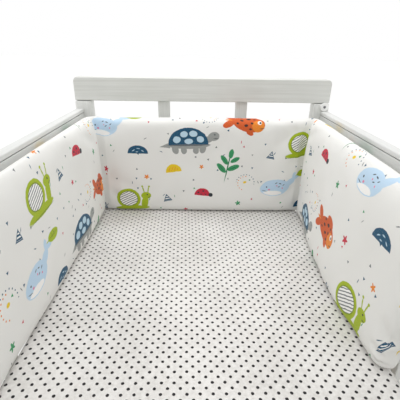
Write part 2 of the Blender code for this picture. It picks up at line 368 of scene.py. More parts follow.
@dataclass(frozen=True)
class DottedCotton:
    """White cotton with small dark dots in a staggered square lattice, which lies a little askew on the bed."""

    ground: Colour = srgb(224, 222, 219)
    dusk: Colour = srgb(200, 197, 193)
    dot: Colour = srgb(40, 38, 40)
    pitch: float = 0.0195
    weft_turn: float = math.radians(1.00)
    warp_turn: float = math.radians(2.04)
    start: tuple[float, float] = (0.0200, -0.0300)
    dot_radius: float = 0.0026
    edge: float = 0.0004
    drift: float = 0.07
    drift_scale: float = 60.0
    fray: float = 0.0012
    fray_scale: float = 900.0
    cloud_scale: float = 7.0
    mottle_scale: float = 170.0
    contrast: tuple[float, float] = (1.7, -1.1)
    weave_scale: float = 900.0
    relief: float = 0.00012
    roughness: float = 0.88

    def material(self) -> bpy.types.Material:
        """The material, whose dots are read from the lattice's two directions.

        Returns:
            The material.
        """
        graph = Graph("dotted_cotton")
        half = self.pitch / 2
        weft = Vector((math.cos(self.weft_turn), math.sin(self.weft_turn))) * half
        warp = Vector((-math.sin(self.warp_turn), math.cos(self.warp_turn))) * half
        first, second = weft + warp, weft - warp
        area = first.x * second.y - first.y * second.x
        point = graph.node("ShaderNodeUVMap", {"uv_map": PRINT_MAP}, {}) - (*self.start, 0.0)
        ways = ((second.y / area, -second.x / area, 0.0), (-first.y / area, first.x / area, 0.0))
        cell = graph.vector(*(graph.calculate("DOT_PRODUCT", point, way) for way in ways), 0.0)
        drift = graph.noise(graph.place(), self.drift_scale, detail=1.0, output="Color") - 0.5
        cell = cell + drift * (self.drift, self.drift, 0.0)
        local = (graph.calculate("FRACTION", cell + 0.5) - 0.5) * (1.0, 1.0, 0.0)
        ragged = graph.spread(graph.noise(graph.place(), self.fray_scale, detail=1.0), self.fray, -self.fray / 2)
        distance = local.length * (half * math.sqrt(2)) + ragged - self.dot_radius
        mask = graph.spread(distance, -1 / self.edge, 0.5, clamp=True)
        clouds = graph.noise(graph.place(), self.cloud_scale, detail=3.0)
        clouds = clouds + graph.noise(graph.place(), self.mottle_scale)
        ground = graph.over(graph.spread(clouds, *self.contrast, clamp=True), self.dusk, self.ground)
        weave = graph.noise(graph.place(), self.weave_scale)
        return graph.finish(graph.over(mask, ground, self.dot), self.roughness, weave, self.relief,
                            Sheen_Weight=0.15, Specular_IOR_Level=0.25)


class Form(Enum):
    """The kinds of outline that the print is built from."""

    OVAL = "oval"
    WEDGE = "wedge"
    STAR = "star"
    ABOVE = "above"
    STRIPES = "stripes"
    DOT_RING = "dot ring"


@dataclass(frozen=True)
class Shape:
    """One outline of a motif, in millimetres from the motif's middle.

    A stripes shape has its pitch as wide and a line's width as high. A dot ring has its radius as wide, a dot's
    radius as high and the number of dots as count.
    """

    form: Form
    x: float
    y: float
    wide: float = 1.0
    high: float = 1.0
    turn: float = 0.0
    count: int = 12


def oval(x: float, y: float, wide: float, high: float, turn: float = 0.0) -> Shape:
    """An ellipse of that width and height, turned by degrees."""
    return Shape(Form.OVAL, x, y, wide, high, turn)


def wedge(x: float, y: float, wide: float, high: float, turn: float = 0.0) -> Shape:
    """A triangle of that width and height, its point up before it is turned."""
    return Shape(Form.WEDGE, x, y, wide, high, turn)


@dataclass(frozen=True)
class Layer:
    """One ink of a motif: a union of shapes, kept inside the shapes that within names, if it names any."""

    ink: Colour
    shapes: tuple[Shape, ...]
    within: tuple[Shape, ...] = ()


@dataclass(frozen=True)
class Stamp:
    """A motif on the print's repeat, in millimetres from the repeat's lower left corner, turned by degrees."""

    motif: tuple[Layer, ...]
    x: float
    y: float
    turn: float = 0.0
    size: float = 1.0


GREY = srgb(154, 157, 154)
DEEP_GREY = srgb(98, 104, 108)
DEEP_BLUE = srgb(8, 76, 108)
SKY = srgb(186, 213, 228)
PALE_BLUE = srgb(188, 213, 234)
LIME = srgb(162, 182, 6)
DEEP_LIME = srgb(122, 144, 8)
ORANGE = srgb(204, 86, 26)
AMBER = srgb(228, 132, 34)
BROWN = srgb(60, 34, 26)
EMERALD = srgb(48, 146, 92)
DEEP_GREEN = srgb(20, 92, 66)
YELLOW = srgb(230, 198, 20)
RED = srgb(196, 32, 60)
PINK = srgb(220, 130, 160)
INK = srgb(38, 44, 52)
WHITE = srgb(246, 245, 242)

TORTOISE = (
    Layer(GREY, (oval(-36, -25, 19, 28, 12), oval(-12, -28, 17, 22), oval(22, -28, 17, 22), oval(42, -24, 19, 28, -14),
                 oval(60, 2, 34, 18, 24), oval(74, 9, 32, 25, 6), wedge(-66, -15, 16, 30, 96), oval(4, -14, 118, 20))),
    Layer(DEEP_BLUE, (oval(2, -8, 112, 88),), (Shape(Form.ABOVE, 0, -13),)),
    Layer(SKY, (oval(-30, 3, 22, 19, 14), oval(-9, 18, 21, 17, 4), oval(17, 19, 23, 17, -8), oval(36, 3, 20, 18, -16),
                oval(3, -2, 24, 15))),
    Layer(DEEP_GREY, (oval(2, -13, 116, 5), oval(80, 3, 15, 2.4, -8), oval(77, 14, 4.6, 4.6))),
)
FISH = (
    Layer(ORANGE, (oval(0, 0, 92, 50), oval(-53, 13, 38, 19, -38), oval(-53, -12, 38, 19, 36), oval(2, 25, 40, 18, -12),
                   oval(8, -25, 24, 14, -28))),
    Layer(AMBER, (oval(28, -4, 34, 34), oval(-56, 0, 20, 5))),
    Layer(BROWN, (oval(-2, 14, 13, 8, 10), oval(-20, 4, 10, 7, -8), oval(-6, -8, 11, 7, 14), oval(9, 1, 8, 6),
                  oval(-30, -7, 7, 5), oval(-22, 17, 7, 5), oval(14, 15, 7, 5), oval(8, -16, 8, 5))),
    Layer(WHITE, (oval(30, 6, 12, 12),)),
    Layer(INK, (oval(32, 6, 6, 6), oval(40, -9, 12, 2, 20))),
)
SNAIL = (
    Layer(LIME, (oval(0, -30, 104, 18), oval(40, -12, 20, 46, -14), oval(46, 10, 30, 23), oval(40, 29, 3.4, 24, 10),
                 oval(54, 28, 3.4, 24, -16), oval(38, 41, 6, 6), oval(58, 39, 6, 6), oval(-8, 2, 72, 66))),
    Layer(DEEP_LIME, (oval(-8, 2, 58, 52), oval(0, -36, 92, 3))),
    Layer(WHITE, (oval(-8, 2, 53, 47),)),
    Layer(DEEP_GREY, (Shape(Form.STRIPES, 0, 0, 6.4, 2.2, 24),), (oval(-8, 2, 53, 47),)),
    Layer(INK, (oval(50, 13, 4, 4), oval(54, 4, 9, 1.8, 14))),
)
SPRIG = (
    Layer(EMERALD, (oval(0, 0, 4, 92, 4), oval(-18, -8, 40, 17, -34), oval(18, 2, 40, 17, 36),
                    oval(-16, 20, 36, 15, -40), oval(16, 28, 32, 14, 44), oval(-1, 44, 15, 30, 4))),
    Layer(DEEP_GREEN, (oval(-18, -8, 30, 1.8, -34), oval(18, 2, 30, 1.8, 36), oval(-16, 20, 26, 1.6, -40),
                       oval(16, 28, 23, 1.6, 44), oval(0, -2, 2, 84, 4))),
)
WHALE = (
    Layer(PALE_BLUE, (oval(-4, 0, 88, 52), oval(40, 10, 42, 18, 32), oval(55, 29, 24, 11, 74),
                      oval(66, 22, 24, 11, 2))),
    Layer(WHITE, (oval(-14, -17, 58, 18, -4),), (oval(-4, 0, 84, 48),)),
    Layer(INK, (oval(-28, 5, 4.4, 4.4), oval(0, 15, 8, 2.4, 20), oval(12, 12, 8, 2.4, -24), oval(8, 2, 7, 2.2, 10),
                oval(22, 6, 7, 2.2, 30), oval(-36, -6, 14, 1.8, -22))),
    Layer(PINK, (oval(-22, -4, 7, 5), oval(2, 6, 4, 4), oval(18, -4, 4, 4))),
)
SUN = (
    Layer(YELLOW, (oval(0, 0, 46, 46),), (Shape(Form.ABOVE, 0, -1),)),
    Layer(AMBER, (Shape(Form.STRIPES, 0, 0, 7, 1.6, 60),), (oval(0, 0, 32, 32), Shape(Form.ABOVE, 0, 3))),
)
BEETLE = (
    Layer(RED, (oval(0, -6, 46, 46),), (Shape(Form.ABOVE, 0, -7),)),
    Layer(INK, (oval(25, -2, 13, 13), oval(-12, 2, 6, 5), oval(2, 8, 6, 5), oval(10, -2, 5, 4), oval(-3, -3, 5, 4))),
)
HILL = (
    Layer(DEEP_BLUE, (oval(0, -10, 58, 46),), (Shape(Form.ABOVE, 0, -11),)),
    Layer(SKY, (oval(-12, -2, 9, 2.4, 32), oval(2, 4, 9, 2.4, -6), oval(14, -3, 8, 2.4, -32), oval(-2, -6, 7, 2.2))),
)
LEAF = (
    Layer(LIME, (oval(0, 0, 44, 22, 24), oval(-20, -10, 16, 3, 30))),
    Layer(DEEP_LIME, (oval(0, 0, 40, 2, 24), oval(2, 4, 2, 14, 40), oval(-6, 0, 2, 12, 40))),
)
TENT = (
    Layer(DEEP_BLUE, (wedge(0, 0, 27, 25),)),
    Layer(WHITE, (Shape(Form.STRIPES, 0, 3, 7, 3.0),), (wedge(0, -0.5, 20, 19),)),
)
RED_STAR = (Layer(RED, (Shape(Form.STAR, 0, 0, 21, 21, 10),)),)
AMBER_STAR = (Layer(AMBER, (Shape(Form.STAR, 0, 0, 15, 15, -16),)),)
GREEN_STAR = (Layer(EMERALD, (Shape(Form.STAR, 0, 0, 18, 18, 30),)),)
DOTTED_BOW = (
    Layer(AMBER, (Shape(Form.DOT_RING, 0, 0, 24, 1.7, 0, 16),), (Shape(Form.ABOVE, 0, 0, turn=50),)),
    Layer(DEEP_BLUE, (Shape(Form.DOT_RING, 0, 0, 30, 1.6, 9, 20),), (Shape(Form.ABOVE, 0, 0, turn=-28),)),
    Layer(YELLOW, (oval(0, 4, 11, 8),)),
)


@dataclass(frozen=True)
class Scatter:
    """A small shape strewn over the repeat: one in some of its cells, each turned and coloured by chance."""

    cells: tuple[int, int]
    share: float
    shape: Shape
    seed: float


@dataclass(frozen=True)
class PrintedCotton:
    """The bumper's white cotton with its nursery print, whose repeat steps up by half from one to the next."""

    ground: Colour = srgb(236, 236, 233)
    dusk: Colour = srgb(230, 229, 225)
    repeat: tuple[float, float] = (500.0, 345.0)
    wobble: float = 2.2
    wobble_scale: float = 130.0
    edge: float = 0.8
    star_points: float = 5.0
    star_lobe: float = 0.25
    star_core: float = 0.70
    cloud_scale: float = 6.0
    speck_scale: float = 420.0
    specks: tuple[float, float] = (0.20, -0.08)
    weave_scale: float = 850.0
    relief: float = 0.00012
    roughness: float = 0.86
    scatters: tuple[Scatter, ...] = (
        Scatter((15, 10), 0.30, wedge(0, 0, 6.6, 5.6), 0.0),
        Scatter((11, 8), 0.22, oval(0, 0, 8.5, 2.0), 40.0),
    )
    scatter_spin: tuple[float, float] = (9.0, 15.3)
    marks: tuple[Colour, ...] = (DEEP_GREY, DEEP_BLUE, EMERALD, DEEP_GREY, RED, DEEP_BLUE, GREY)
    stamps: tuple[Stamp, ...] = (
        Stamp(TORTOISE, 98, 236, 3),
        Stamp(FISH, 268, 288, -10),
        Stamp(SNAIL, 428, 226, 4),
        Stamp(SPRIG, 214, 160, -14, 0.92),
        Stamp(WHALE, 362, 96, 8),
        Stamp(SUN, 58, 142, 10),
        Stamp(BEETLE, 142, 76, -6),
        Stamp(HILL, 456, 36, 0),
        Stamp(LEAF, 448, 136, -20),
        Stamp(TENT, 36, 58, 12),
        Stamp(TENT, 338, 196, -10, 0.9),
        Stamp(RED_STAR, 356, 318),
        Stamp(AMBER_STAR, 138, 160),
        Stamp(GREEN_STAR, 250, 46),
        Stamp(DOTTED_BOW, 268, 110, 20, 0.9),
        Stamp(DOTTED_BOW, 160, 312, -120, 0.8),
        Stamp(RED_STAR, 92, 18, 20, 0.7),
        Stamp(AMBER_STAR, 478, 300, 0, 1.1),
    )

    def line(self, graph: Graph, point: Socket, spot: Spot, way: complex, lift: float = 0.0) -> Socket:
        """A number that grows evenly in one direction over the cloth.

        Args:
            graph: The material's graph.
            point: The point on the repeat, in millimetres, with 1 as its third number.
            spot: Turns a point of the repeat into the shape's own place for it.
            way: The direction in the shape's own place, as long as the number grows there in a millimetre.
            lift: The number at the shape's middle.

        Returns:
            The number.
        """
        def value(at: complex) -> float:
            """The number at a point of the repeat."""
            return (spot(at) * way.conjugate()).real + lift

        start = value(0)
        return graph.calculate("DOT_PRODUCT", point, (value(1) - start, value(1j) - start, start))

    def outline(self, graph: Graph, point: Socket, stamp: Stamp, shape: Shape) -> Socket:
        """Distance from a shape's edge.

        Args:
            graph: The material's graph.
            point: The point on the repeat, in millimetres, with 1 as its third number.
            stamp: The motif's place.
            shape: The shape, in the motif's millimetres.

        Returns:
            Millimetres on the cloth from the edge, less than 0 inside.
        """
        stamp_turn, shape_turn = (cmath.rect(1, -math.radians(t)) for t in (stamp.turn, shape.turn))
        size, half = stamp.size, (shape.wide / 2, shape.high / 2)

        def spot(at: complex) -> complex:
            """The shape's own place for a point of the repeat."""
            return ((at - complex(stamp.x, stamp.y)) * stamp_turn / size - complex(shape.x, shape.y)) * shape_turn

        if shape.form is Form.OVAL:
            near = min(half) * size / 2
            across, up = (self.line(graph, point, spot, way * math.sqrt(near)) for way in (1 / half[0], 1j / half[1]))
            return graph.spread(up, up, graph.spread(across, across, -near))
        if shape.form is Form.WEDGE:
            slope = complex(shape.high, half[0]) / abs(complex(shape.high, half[0])) * size
            side = self.line(graph, point, spot, slope, -slope.imag * half[1])
            side = side & self.line(graph, point, spot, -slope.conjugate(), -slope.imag * half[1])
            return side & self.line(graph, point, spot, -1j * size, -half[1] * size)
        if shape.form is Form.ABOVE:
            return self.line(graph, point, spot, -1j * size)
        if shape.form is Form.STRIPES:
            up = self.line(graph, point, spot, 1j * size)
            return graph.calculate("PINGPONG", up, half[0] * size) - half[1] * size
        across, up = (self.line(graph, point, spot, way * size) for way in (1, 1j))
        far = graph.calculate("SQRT", graph.spread(across, across, up * up))
        angle = graph.calculate("ARCTAN2", up, across)
        if shape.form is Form.STAR:
            lobes = graph.calculate("COSINE", angle * self.star_points)
            radius = half[0] * size
            return far - graph.spread(lobes, self.star_lobe * radius, self.star_core * radius)
        near = graph.calculate("PINGPONG", angle, math.pi / shape.count)
        out = graph.spread(far, graph.calculate("COSINE", near), -shape.wide * size)
        side = far * graph.calculate("SINE", near)
        return graph.calculate("SQRT", graph.spread(out, out, side * side)) - shape.high * size

    def mask(self, graph: Graph, distance: Socket) -> Socket:
        """Turns a distance from an edge into ink, 1 or more inside, soft over the edge's width."""
        return graph.spread(distance, -1 / self.edge, 0.5)

    def stamp(self, graph: Graph, point: Socket, colour: Socket, stamp: Stamp) -> Socket:
        """Prints one motif.

        Args:
            graph: The material's graph.
            point: The point on the repeat, in millimetres, with 1 as its third number.
            colour: The cloth so far.
            stamp: The motif and its place.

        Returns:
            The cloth with the motif on it.
        """
        for layer in stamp.motif:
            distance = self.outline(graph, point, stamp, layer.shapes[0])
            for shape in layer.shapes[1:]:
                distance = distance | self.outline(graph, point, stamp, shape)
            for shape in layer.within:
                distance = distance & self.outline(graph, point, stamp, shape)
            colour = graph.over(self.mask(graph, distance), colour, layer.ink)
        return colour

    def strew(self, graph: Graph, point: Socket, colour: Socket, scatter: Scatter) -> Socket:
        """Prints the marks of one scatter, each within the middle half of its cell.

        Args:
            graph: The material's graph.
            point: The point on the repeat, in millimetres.
            colour: The cloth so far.
            scatter: The marks.

        Returns:
            The cloth with the marks on it.
        """
        size = tuple(whole / count for whole, count in zip(self.repeat, scatter.cells))
        cell = point / (*size, 1.0)
        number = graph.calculate("FLOOR", cell) + scatter.seed
        chance = graph.node("ShaderNodeTexWhiteNoise", {"noise_dimensions": "3D"}, {"Vector": number}, "Color")
        aside, lift, pick = (chance.part(i) for i in range(3))
        middle = graph.vector(*(graph.spread(way, s / 2, -s * 3 / 4) for way, s in zip((aside, lift), size)))
        local = graph.calculate("FRACTION", cell) * (*size, 0.0) + middle
        spin = aside * self.scatter_spin[0] + lift * self.scatter_spin[1]
        turned = graph.node("ShaderNodeVectorRotate", {"rotation_type": "Z_AXIS"}, {"Vector": local, "Angle": spin})
        ink = self.mask(graph, self.outline(graph, turned + (0.0, 0.0, 1.0), Stamp((), 0, 0), scatter.shape))
        ink = graph.calculate("MINIMUM", ink, graph.calculate("LESS_THAN", pick, scatter.share))
        stops = [(i / len(self.marks), mark) for i, mark in enumerate(self.marks)]
        dye = graph.node("ShaderNodeValToRGB", {"stops": stops, "interpolation": "CONSTANT"},
                         {0: pick / scatter.share})
        return graph.over(ink, colour, dye)

    def material(self) -> bpy.types.Material:
        """The material, read from the print map, whose units are metres along and round the bumper.

        Returns:
            The material.
        """
        graph = Graph("cotton_print")
        cloth = graph.node("ShaderNodeUVMap", {"uv_map": PRINT_MAP}, {})
        along, up = (cloth.part(axis) * MILLIMETRES for axis in range(2))
        jitter = graph.noise(cloth, self.wobble_scale, detail=1.0, output="Color")
        along = along + (jitter.part(0) - 0.5) * self.wobble
        up = up + (jitter.part(1) - 0.5) * self.wobble
        column = graph.calculate("FLOOR", along / self.repeat[0])
        step = graph.calculate("FLOORED_MODULO", column, 2.0) * (self.repeat[1] / 2)
        across = along - column * self.repeat[0]
        rise = graph.calculate("FLOORED_MODULO", up + step, self.repeat[1])
        point = graph.vector(across, rise, 1.0)
        colour = graph.over(graph.noise(cloth, self.cloud_scale), self.dusk, self.ground)
        for scatter in self.scatters:
            colour = self.strew(graph, point, colour, scatter)
        for stamp in self.stamps:
            colour = self.stamp(graph, point, colour, stamp)
        specks = graph.spread(graph.noise(cloth, self.speck_scale), *self.specks)
        weave = graph.noise(cloth, self.weave_scale)
        return graph.finish(graph.over(specks, colour, self.ground), self.roughness, weave, self.relief,
                            Sheen_Weight=0.12, Specular_IOR_Level=0.25)


@dataclass(frozen=True)
class PlainFinish:
    """A finish of one colour with a fine unevenness, for what is small or out of sight."""

    name: str
    colour: Colour
    shade: Colour
    roughness: float
    metallic: float = 0.0
    scale: Point = (220.0, 220.0, 220.0)
    relief: float = 0.0001
    uneven: float = 0.16
    contrast: tuple[float, float] = (3.0, -1.0)

    def material(self) -> bpy.types.Material:
        """The material, whose unevenness follows the finish's scale along each axis.

        Returns:
            The material.
        """
        graph = Graph(self.name)
        fleck = graph.noise(graph.place() * self.scale, 1.0, detail=3.0)
        mask = graph.spread(fleck, *self.contrast, clamp=True)
        rough = graph.spread(fleck, self.uneven, self.roughness - self.uneven / 2)
        return graph.finish(graph.over(mask, self.shade, self.colour), rough, fleck, self.relief,
                            Metallic=self.metallic)


TICKING = PlainFinish("mattress_ticking", srgb(232, 230, 223), srgb(214, 211, 202), 0.9)
PLY = PlainFinish("base_ply", srgb(214, 190, 150), srgb(190, 160, 116), 0.6, scale=(60.0, 5.0, 220.0))
CAP_PLASTIC = PlainFinish("cap_plastic", srgb(246, 246, 244), srgb(240, 240, 238), 0.35, relief=0.00002)
# The screw's grey is partly painted shade, standing in for the shadow in the cap's hollow.
SCREW_STEEL_AND_SHADE = PlainFinish("screw_steel", srgb(128, 129, 131), srgb(100, 101, 103), 0.45, 0.6, relief=0.00002)


def put(name: str, data: bpy.types.ID) -> bpy.types.Object:
    """Makes an object and puts it into the scene.

    Args:
        name: The object's name.
        data: Its mesh, light or camera.

    Returns:
        The object.
    """
    made = bpy.data.objects.new(name, data)
    bpy.context.scene.collection.objects.link(made)
    return made


def add_piece(name: str, mesh: bpy.types.Mesh, material: bpy.types.Material,
              nodes: Iterable[str]) -> bpy.types.Object:
    """Puts a finished mesh into the scene in the place of its CAD nodes.

    Args:
        name: The piece's name.
        mesh: Its mesh, in the frame's metres.
        material: Its material.
        nodes: The CAD nodes that it stands for.

    Returns:
        The piece.
    """
    mesh.name = name
    mesh.materials.clear()
    mesh.materials.append(material)
    piece = put(name, mesh)
    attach(piece, BODY)
    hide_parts(*nodes)
    LOG.info("%s: %d faces", name, len(mesh.polygons))
    return piece


EdgeTest = Callable[[Vector, Vector], bool]


@dataclass
class Bar:
    """A straight piece, of wood or foam, between two corners, with eased edges."""

    low: Vector
    high: Vector
    ease: float = 0.0030
    ease_steps: int = 3
    least_angle: float = math.radians(50)
    round_radius: float = 0.0
    round_edges: EdgeTest | None = None
    round_steps: int = 6
    short: float = 0.0

    def add_to(self, whole: bmesh.types.BMesh) -> None:
        """Builds the bar, as much shorter at its top as it says, and adds it to a mesh that may hold others.

        Args:
            whole: The mesh.
        """
        shape = bmesh.new()
        bmesh.ops.create_cube(shape, size=1.0)
        high = self.high - Vector((0, 0, self.short))
        centre, size = (self.low + high) / 2, high - self.low
        for vertex in shape.verts:
            vertex.co = Vector(c * s for c, s in zip(vertex.co, size))
        if self.round_edges:
            chosen = [e for e in shape.edges if self.is_round(e)]
            bmesh.ops.bevel(shape, geom=chosen, offset=self.round_radius, segments=self.round_steps, profile=0.5,
                            affect="EDGES")
        sharp = [e for e in shape.edges if e.calc_face_angle(0.0) > self.least_angle]
        bmesh.ops.bevel(shape, geom=sharp, offset=self.ease, segments=self.ease_steps, profile=0.5, affect="EDGES")
        bmesh.ops.translate(shape, vec=centre, verts=shape.verts)
        part = bpy.data.meshes.new("part")
        shape.to_mesh(part)
        shape.free()
        whole.from_mesh(part)
        bpy.data.meshes.remove(part)

    def is_round(self, edge: bmesh.types.BMEdge) -> bool:
        """True for an edge that takes the larger radius."""
        first, second = (v.co for v in edge.verts)
        return self.round_edges((first + second) / 2, second - first)


def finished_mesh(shape: bmesh.types.BMesh, name: str, sharp: float = 35.0) -> bpy.types.Mesh:
    """Turns a finished shape into a smoothly shaded mesh.

    Args:
        shape: The shape, which is freed.
        name: The mesh's name.
        sharp: The angle over which an edge stays sharp, in degrees.

    Returns:
        The mesh.
    """
    bmesh.ops.recalc_face_normals(shape, faces=shape.faces[:])
    mesh = bpy.data.meshes.new(name)
    shape.to_mesh(mesh)
    shape.free()
    mesh.shade_smooth()
    mesh.set_sharp_from_angle(angle=math.radians(sharp))
    return mesh


def skin(shape: bmesh.types.BMesh, rings: Sequence[list[bmesh.types.BMVert]]) -> None:
    """Lays faces over rings of equally many points, and closes both ends of the tube.

    Args:
        shape: The shape that the points belong to.
        rings: The rings, in order along the tube.
    """
    for first, second in zip(rings, rings[1:]):
        for i in range(len(first)):
            j = (i + 1) % len(first)
            shape.faces.new((first[i], first[j], second[j], second[i]))
    shape.faces.new(rings[0])
    shape.faces.new(rings[-1][::-1])


@dataclass
class Woodwork:
    """The cot's painted wood: each piece, or each row of like pieces, over the CAD nodes that it stands for."""

    rail_round: float = 0.0032
    round_steps: int = 6
    rail_steps: int = 24
    groove_below: float = 0.0095
    groove_high: float = 0.0023
    groove_deep: float = 0.0045
    groove_ease: float = 0.0004
    head_corner: float = 0.0125
    post_seam: float = 0.0014
    post_ease: float = 0.0026
    slot: str = "painted_wood"

    def piece(self, name: str, nodes: Sequence[str], grain: Grain, **bar: object) -> None:
        """Builds one piece from the boxes of its CAD nodes.

        Args:
            name: The piece's name.
            nodes: Its CAD nodes.
            grain: The way that its grain runs.
            bar: Sizes for each Bar.
        """
        shape = bmesh.new()
        for node in nodes:
            Bar(*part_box(node), **bar).add_to(shape)
        mesh = finished_mesh(shape, name)
        made = add_piece(name, mesh, PAINT[grain].material(), nodes)
        smooth = made.modifiers.new("flat_faces", "WEIGHTED_NORMAL")
        smooth.keep_sharp = True

    def build(self) -> None:
        """Builds every piece of wood."""
        self.build_head()
        self.build_foot()
        for hand, side in (("left", -1), ("right", 1)):
            self.build_side(hand, side)
        for post in ("head_left", "head_right", "foot_left", "foot_right"):
            # The posts wear the upright paint, whose lighter tone is painted light.
            self.piece(f"leg_{post}", [f"post_{post}"], Grain.UPRIGHT, ease=self.post_ease, short=self.post_seam)

    def build_head(self) -> None:
        """Builds the head end, whose deep top rail has round upper corners."""
        def upper(middle: Vector, way: Vector) -> bool:
            """True for the two upper edges that run through the rail."""
            return abs(way.y) > abs(way.x) + abs(way.z) and middle.z > 0

        self.piece("head_top", ["head_top_rail"], Grain.ACROSS, round_radius=self.head_corner, round_edges=upper)
        self.piece("head_middle", ["head_middle_rail"], Grain.ACROSS)
        self.piece("head_low", ["head_low_rail"], Grain.ACROSS)
        self.piece("head_window_row", self.named("head_window_slat"), Grain.UPRIGHT)
        self.piece("head_slat_row", self.named("head_slat"), Grain.UPRIGHT)

    def build_foot(self) -> None:
        """Builds the foot end, which is level with the sides."""
        self.piece("foot_top", ["foot_top_rail"], Grain.ACROSS)
        self.piece("foot_low", ["foot_low_rail"], Grain.ACROSS)
        self.piece("foot_slat_row", self.named("foot_slat"), Grain.UPRIGHT)

    def build_side(self, hand: str, side: int) -> None:
        """Builds one side, whose top rail is rounded towards the bed.

        Args:
            hand: left or right.
            side: -1 or 1, its direction along X.
        """
        rail = self.grooved_rail(f"top_{hand}", *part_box(f"side_rail_{hand}"), side)
        # The top rail wears the copy of the paint whose tone is painted shade.
        add_piece(f"top_{hand}", rail, SHADED_RAIL_PAINT.material(), [f"side_rail_{hand}"])
        self.piece(f"low_{hand}", [f"side_low_rail_{hand}"], Grain.LENGTHWISE)
        self.piece(f"slat_row_{hand}", self.named(f"side_slat_{hand}"), Grain.UPRIGHT)
        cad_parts[f"base_cleat_{hand}"].data.materials[0] = PAINT[Grain.LENGTHWISE].material()

    def grooved_rail(self, name: str, low: Vector, high: Vector, side: int) -> bpy.types.Mesh:
        """A side's top rail, with a fine groove along its inner face under the top edge.

        Args:
            name: The mesh's name.
            low: The low corner of its box.
            high: The high corner of its box.
            side: -1 or 1, the side's direction along X.

        Returns:
            The mesh.
        """
        def arc(x: float, z: float, first: float) -> list[tuple[float, float]]:
            """A quarter turn round a corner's centre, from an angle in degrees."""
            angles = (math.radians(first + 90 * i / self.round_steps) for i in range(self.round_steps + 1))
            return [(x + radius * math.cos(a), z + radius * math.sin(a)) for a in angles]

        wide, tall, radius, ease = high.x - low.x, high.z - low.z, self.rail_round, self.groove_ease
        top, deep = tall - self.groove_below, self.groove_deep
        bottom = top - self.groove_high
        profile = [*arc(wide - radius, tall - radius, 0), *arc(radius, tall - radius, 90),
                   (0, top + ease), (ease, top), (deep, top), (deep, bottom), (ease, bottom), (0, bottom - ease),
                   *arc(radius, radius, 180), *arc(wide - radius, radius, 270)]
        shape = bmesh.new()
        inner = low.x if side > 0 else high.x
        steps = self.rail_steps
        skin(shape, [[shape.verts.new((inner + side * x, low.y + (high.y - low.y) * i / steps, low.z + z))
                      for x, z in profile] for i in range(steps + 1)])
        return finished_mesh(shape, name)

    @staticmethod
    def named(start: str) -> list[str]:
        """The CAD nodes whose names are this start and a number."""
        return sorted(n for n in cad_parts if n.startswith(start + "_") and n[len(start) + 1:].isdigit())


@dataclass
class PostCap:
    """The round white cap on the right head post, with a dark screw in its hollow, whose grey also stands in for the
    shadow there: painted shade.

    The hollow's middle and the flat of the front are shares of its radius, and its rim is rounded by that much, or
    by that share of its depth where that is less.
    """

    steps: int = 40
    rim_steps: int = 4
    dish: float = 0.00033
    middle: float = 0.12
    flat: float = 0.55
    rim: float = 0.0012
    rim_share: float = 0.4

    def turned(self, profile: Sequence[tuple[float, float]], centre: Vector, name: str) -> bpy.types.Mesh:
        """Turns a profile round the cap's axis, which runs along Y.

        Args:
            profile: Radius and depth of each point, from the middle of the front.
            centre: The middle of the front.
            name: The mesh's name.

        Returns:
            The closed mesh.
        """
        shape = bmesh.new()
        rings = []
        for radius, depth in profile:
            angles = (2 * math.pi * i / self.steps for i in range(self.steps))
            rings.append([shape.verts.new((centre.x + radius * math.cos(a), centre.y + depth,
                                           centre.z + radius * math.sin(a))) for a in angles])
        skin(shape, rings)
        return finished_mesh(shape, name, sharp=50.0)

    def build(self) -> None:
        """Builds the cap and its screw."""
        for name, node, finish, slot in (("cap", "post_cap", CAP_PLASTIC, "cap_plastic"),
                                         ("cap_screw", "post_cap_screw", SCREW_STEEL_AND_SHADE, "screw_steel")):
            low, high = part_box(node)
            centre = Vector(((low.x + high.x) / 2, low.y, (low.z + high.z) / 2))
            radius, deep = (high.x - low.x) / 2, high.y - low.y
            rim = min(self.rim, deep * self.rim_share)
            profile = [(radius * self.middle, self.dish if name == "cap" else 0.0), (radius * self.flat, 0.0)]
            for i in range(self.rim_steps + 1):
                turn = math.pi / 2 * i / self.rim_steps
                profile.append((radius - rim + rim * math.sin(turn), rim - rim * math.cos(turn)))
            profile += [(radius, deep), (radius * self.middle, deep)]
            add_piece(name, self.turned(profile, centre, name), finish.material(), [node])


@dataclass
class Mattress:
    """The pad under the sheet, in ticking with a rounded edge, out of sight."""

    ease: float = 0.012
    ease_steps: int = 6

    def build(self) -> None:
        shape = bmesh.new()
        low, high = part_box("mattress")
        Bar(low, high, ease=self.ease, ease_steps=self.ease_steps).add_to(shape)
        pad = add_piece("mattress_pad", finished_mesh(shape, "mattress_pad"), TICKING.material(),
                        ["mattress"])
        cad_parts["bed_base"].data.materials[0] = PLY.material()


@dataclass(frozen=True)
class Waves:
    """Smooth waves of chance over a cloth: how many to a metre each way, and a number that picks them."""

    along: float
    up: float
    pick: float

    def at(self, along: float, up: float) -> float:
        """Their height at a point, between -1 and 1."""
        return noise.noise(Vector((along * self.along, up * self.up, self.pick)))


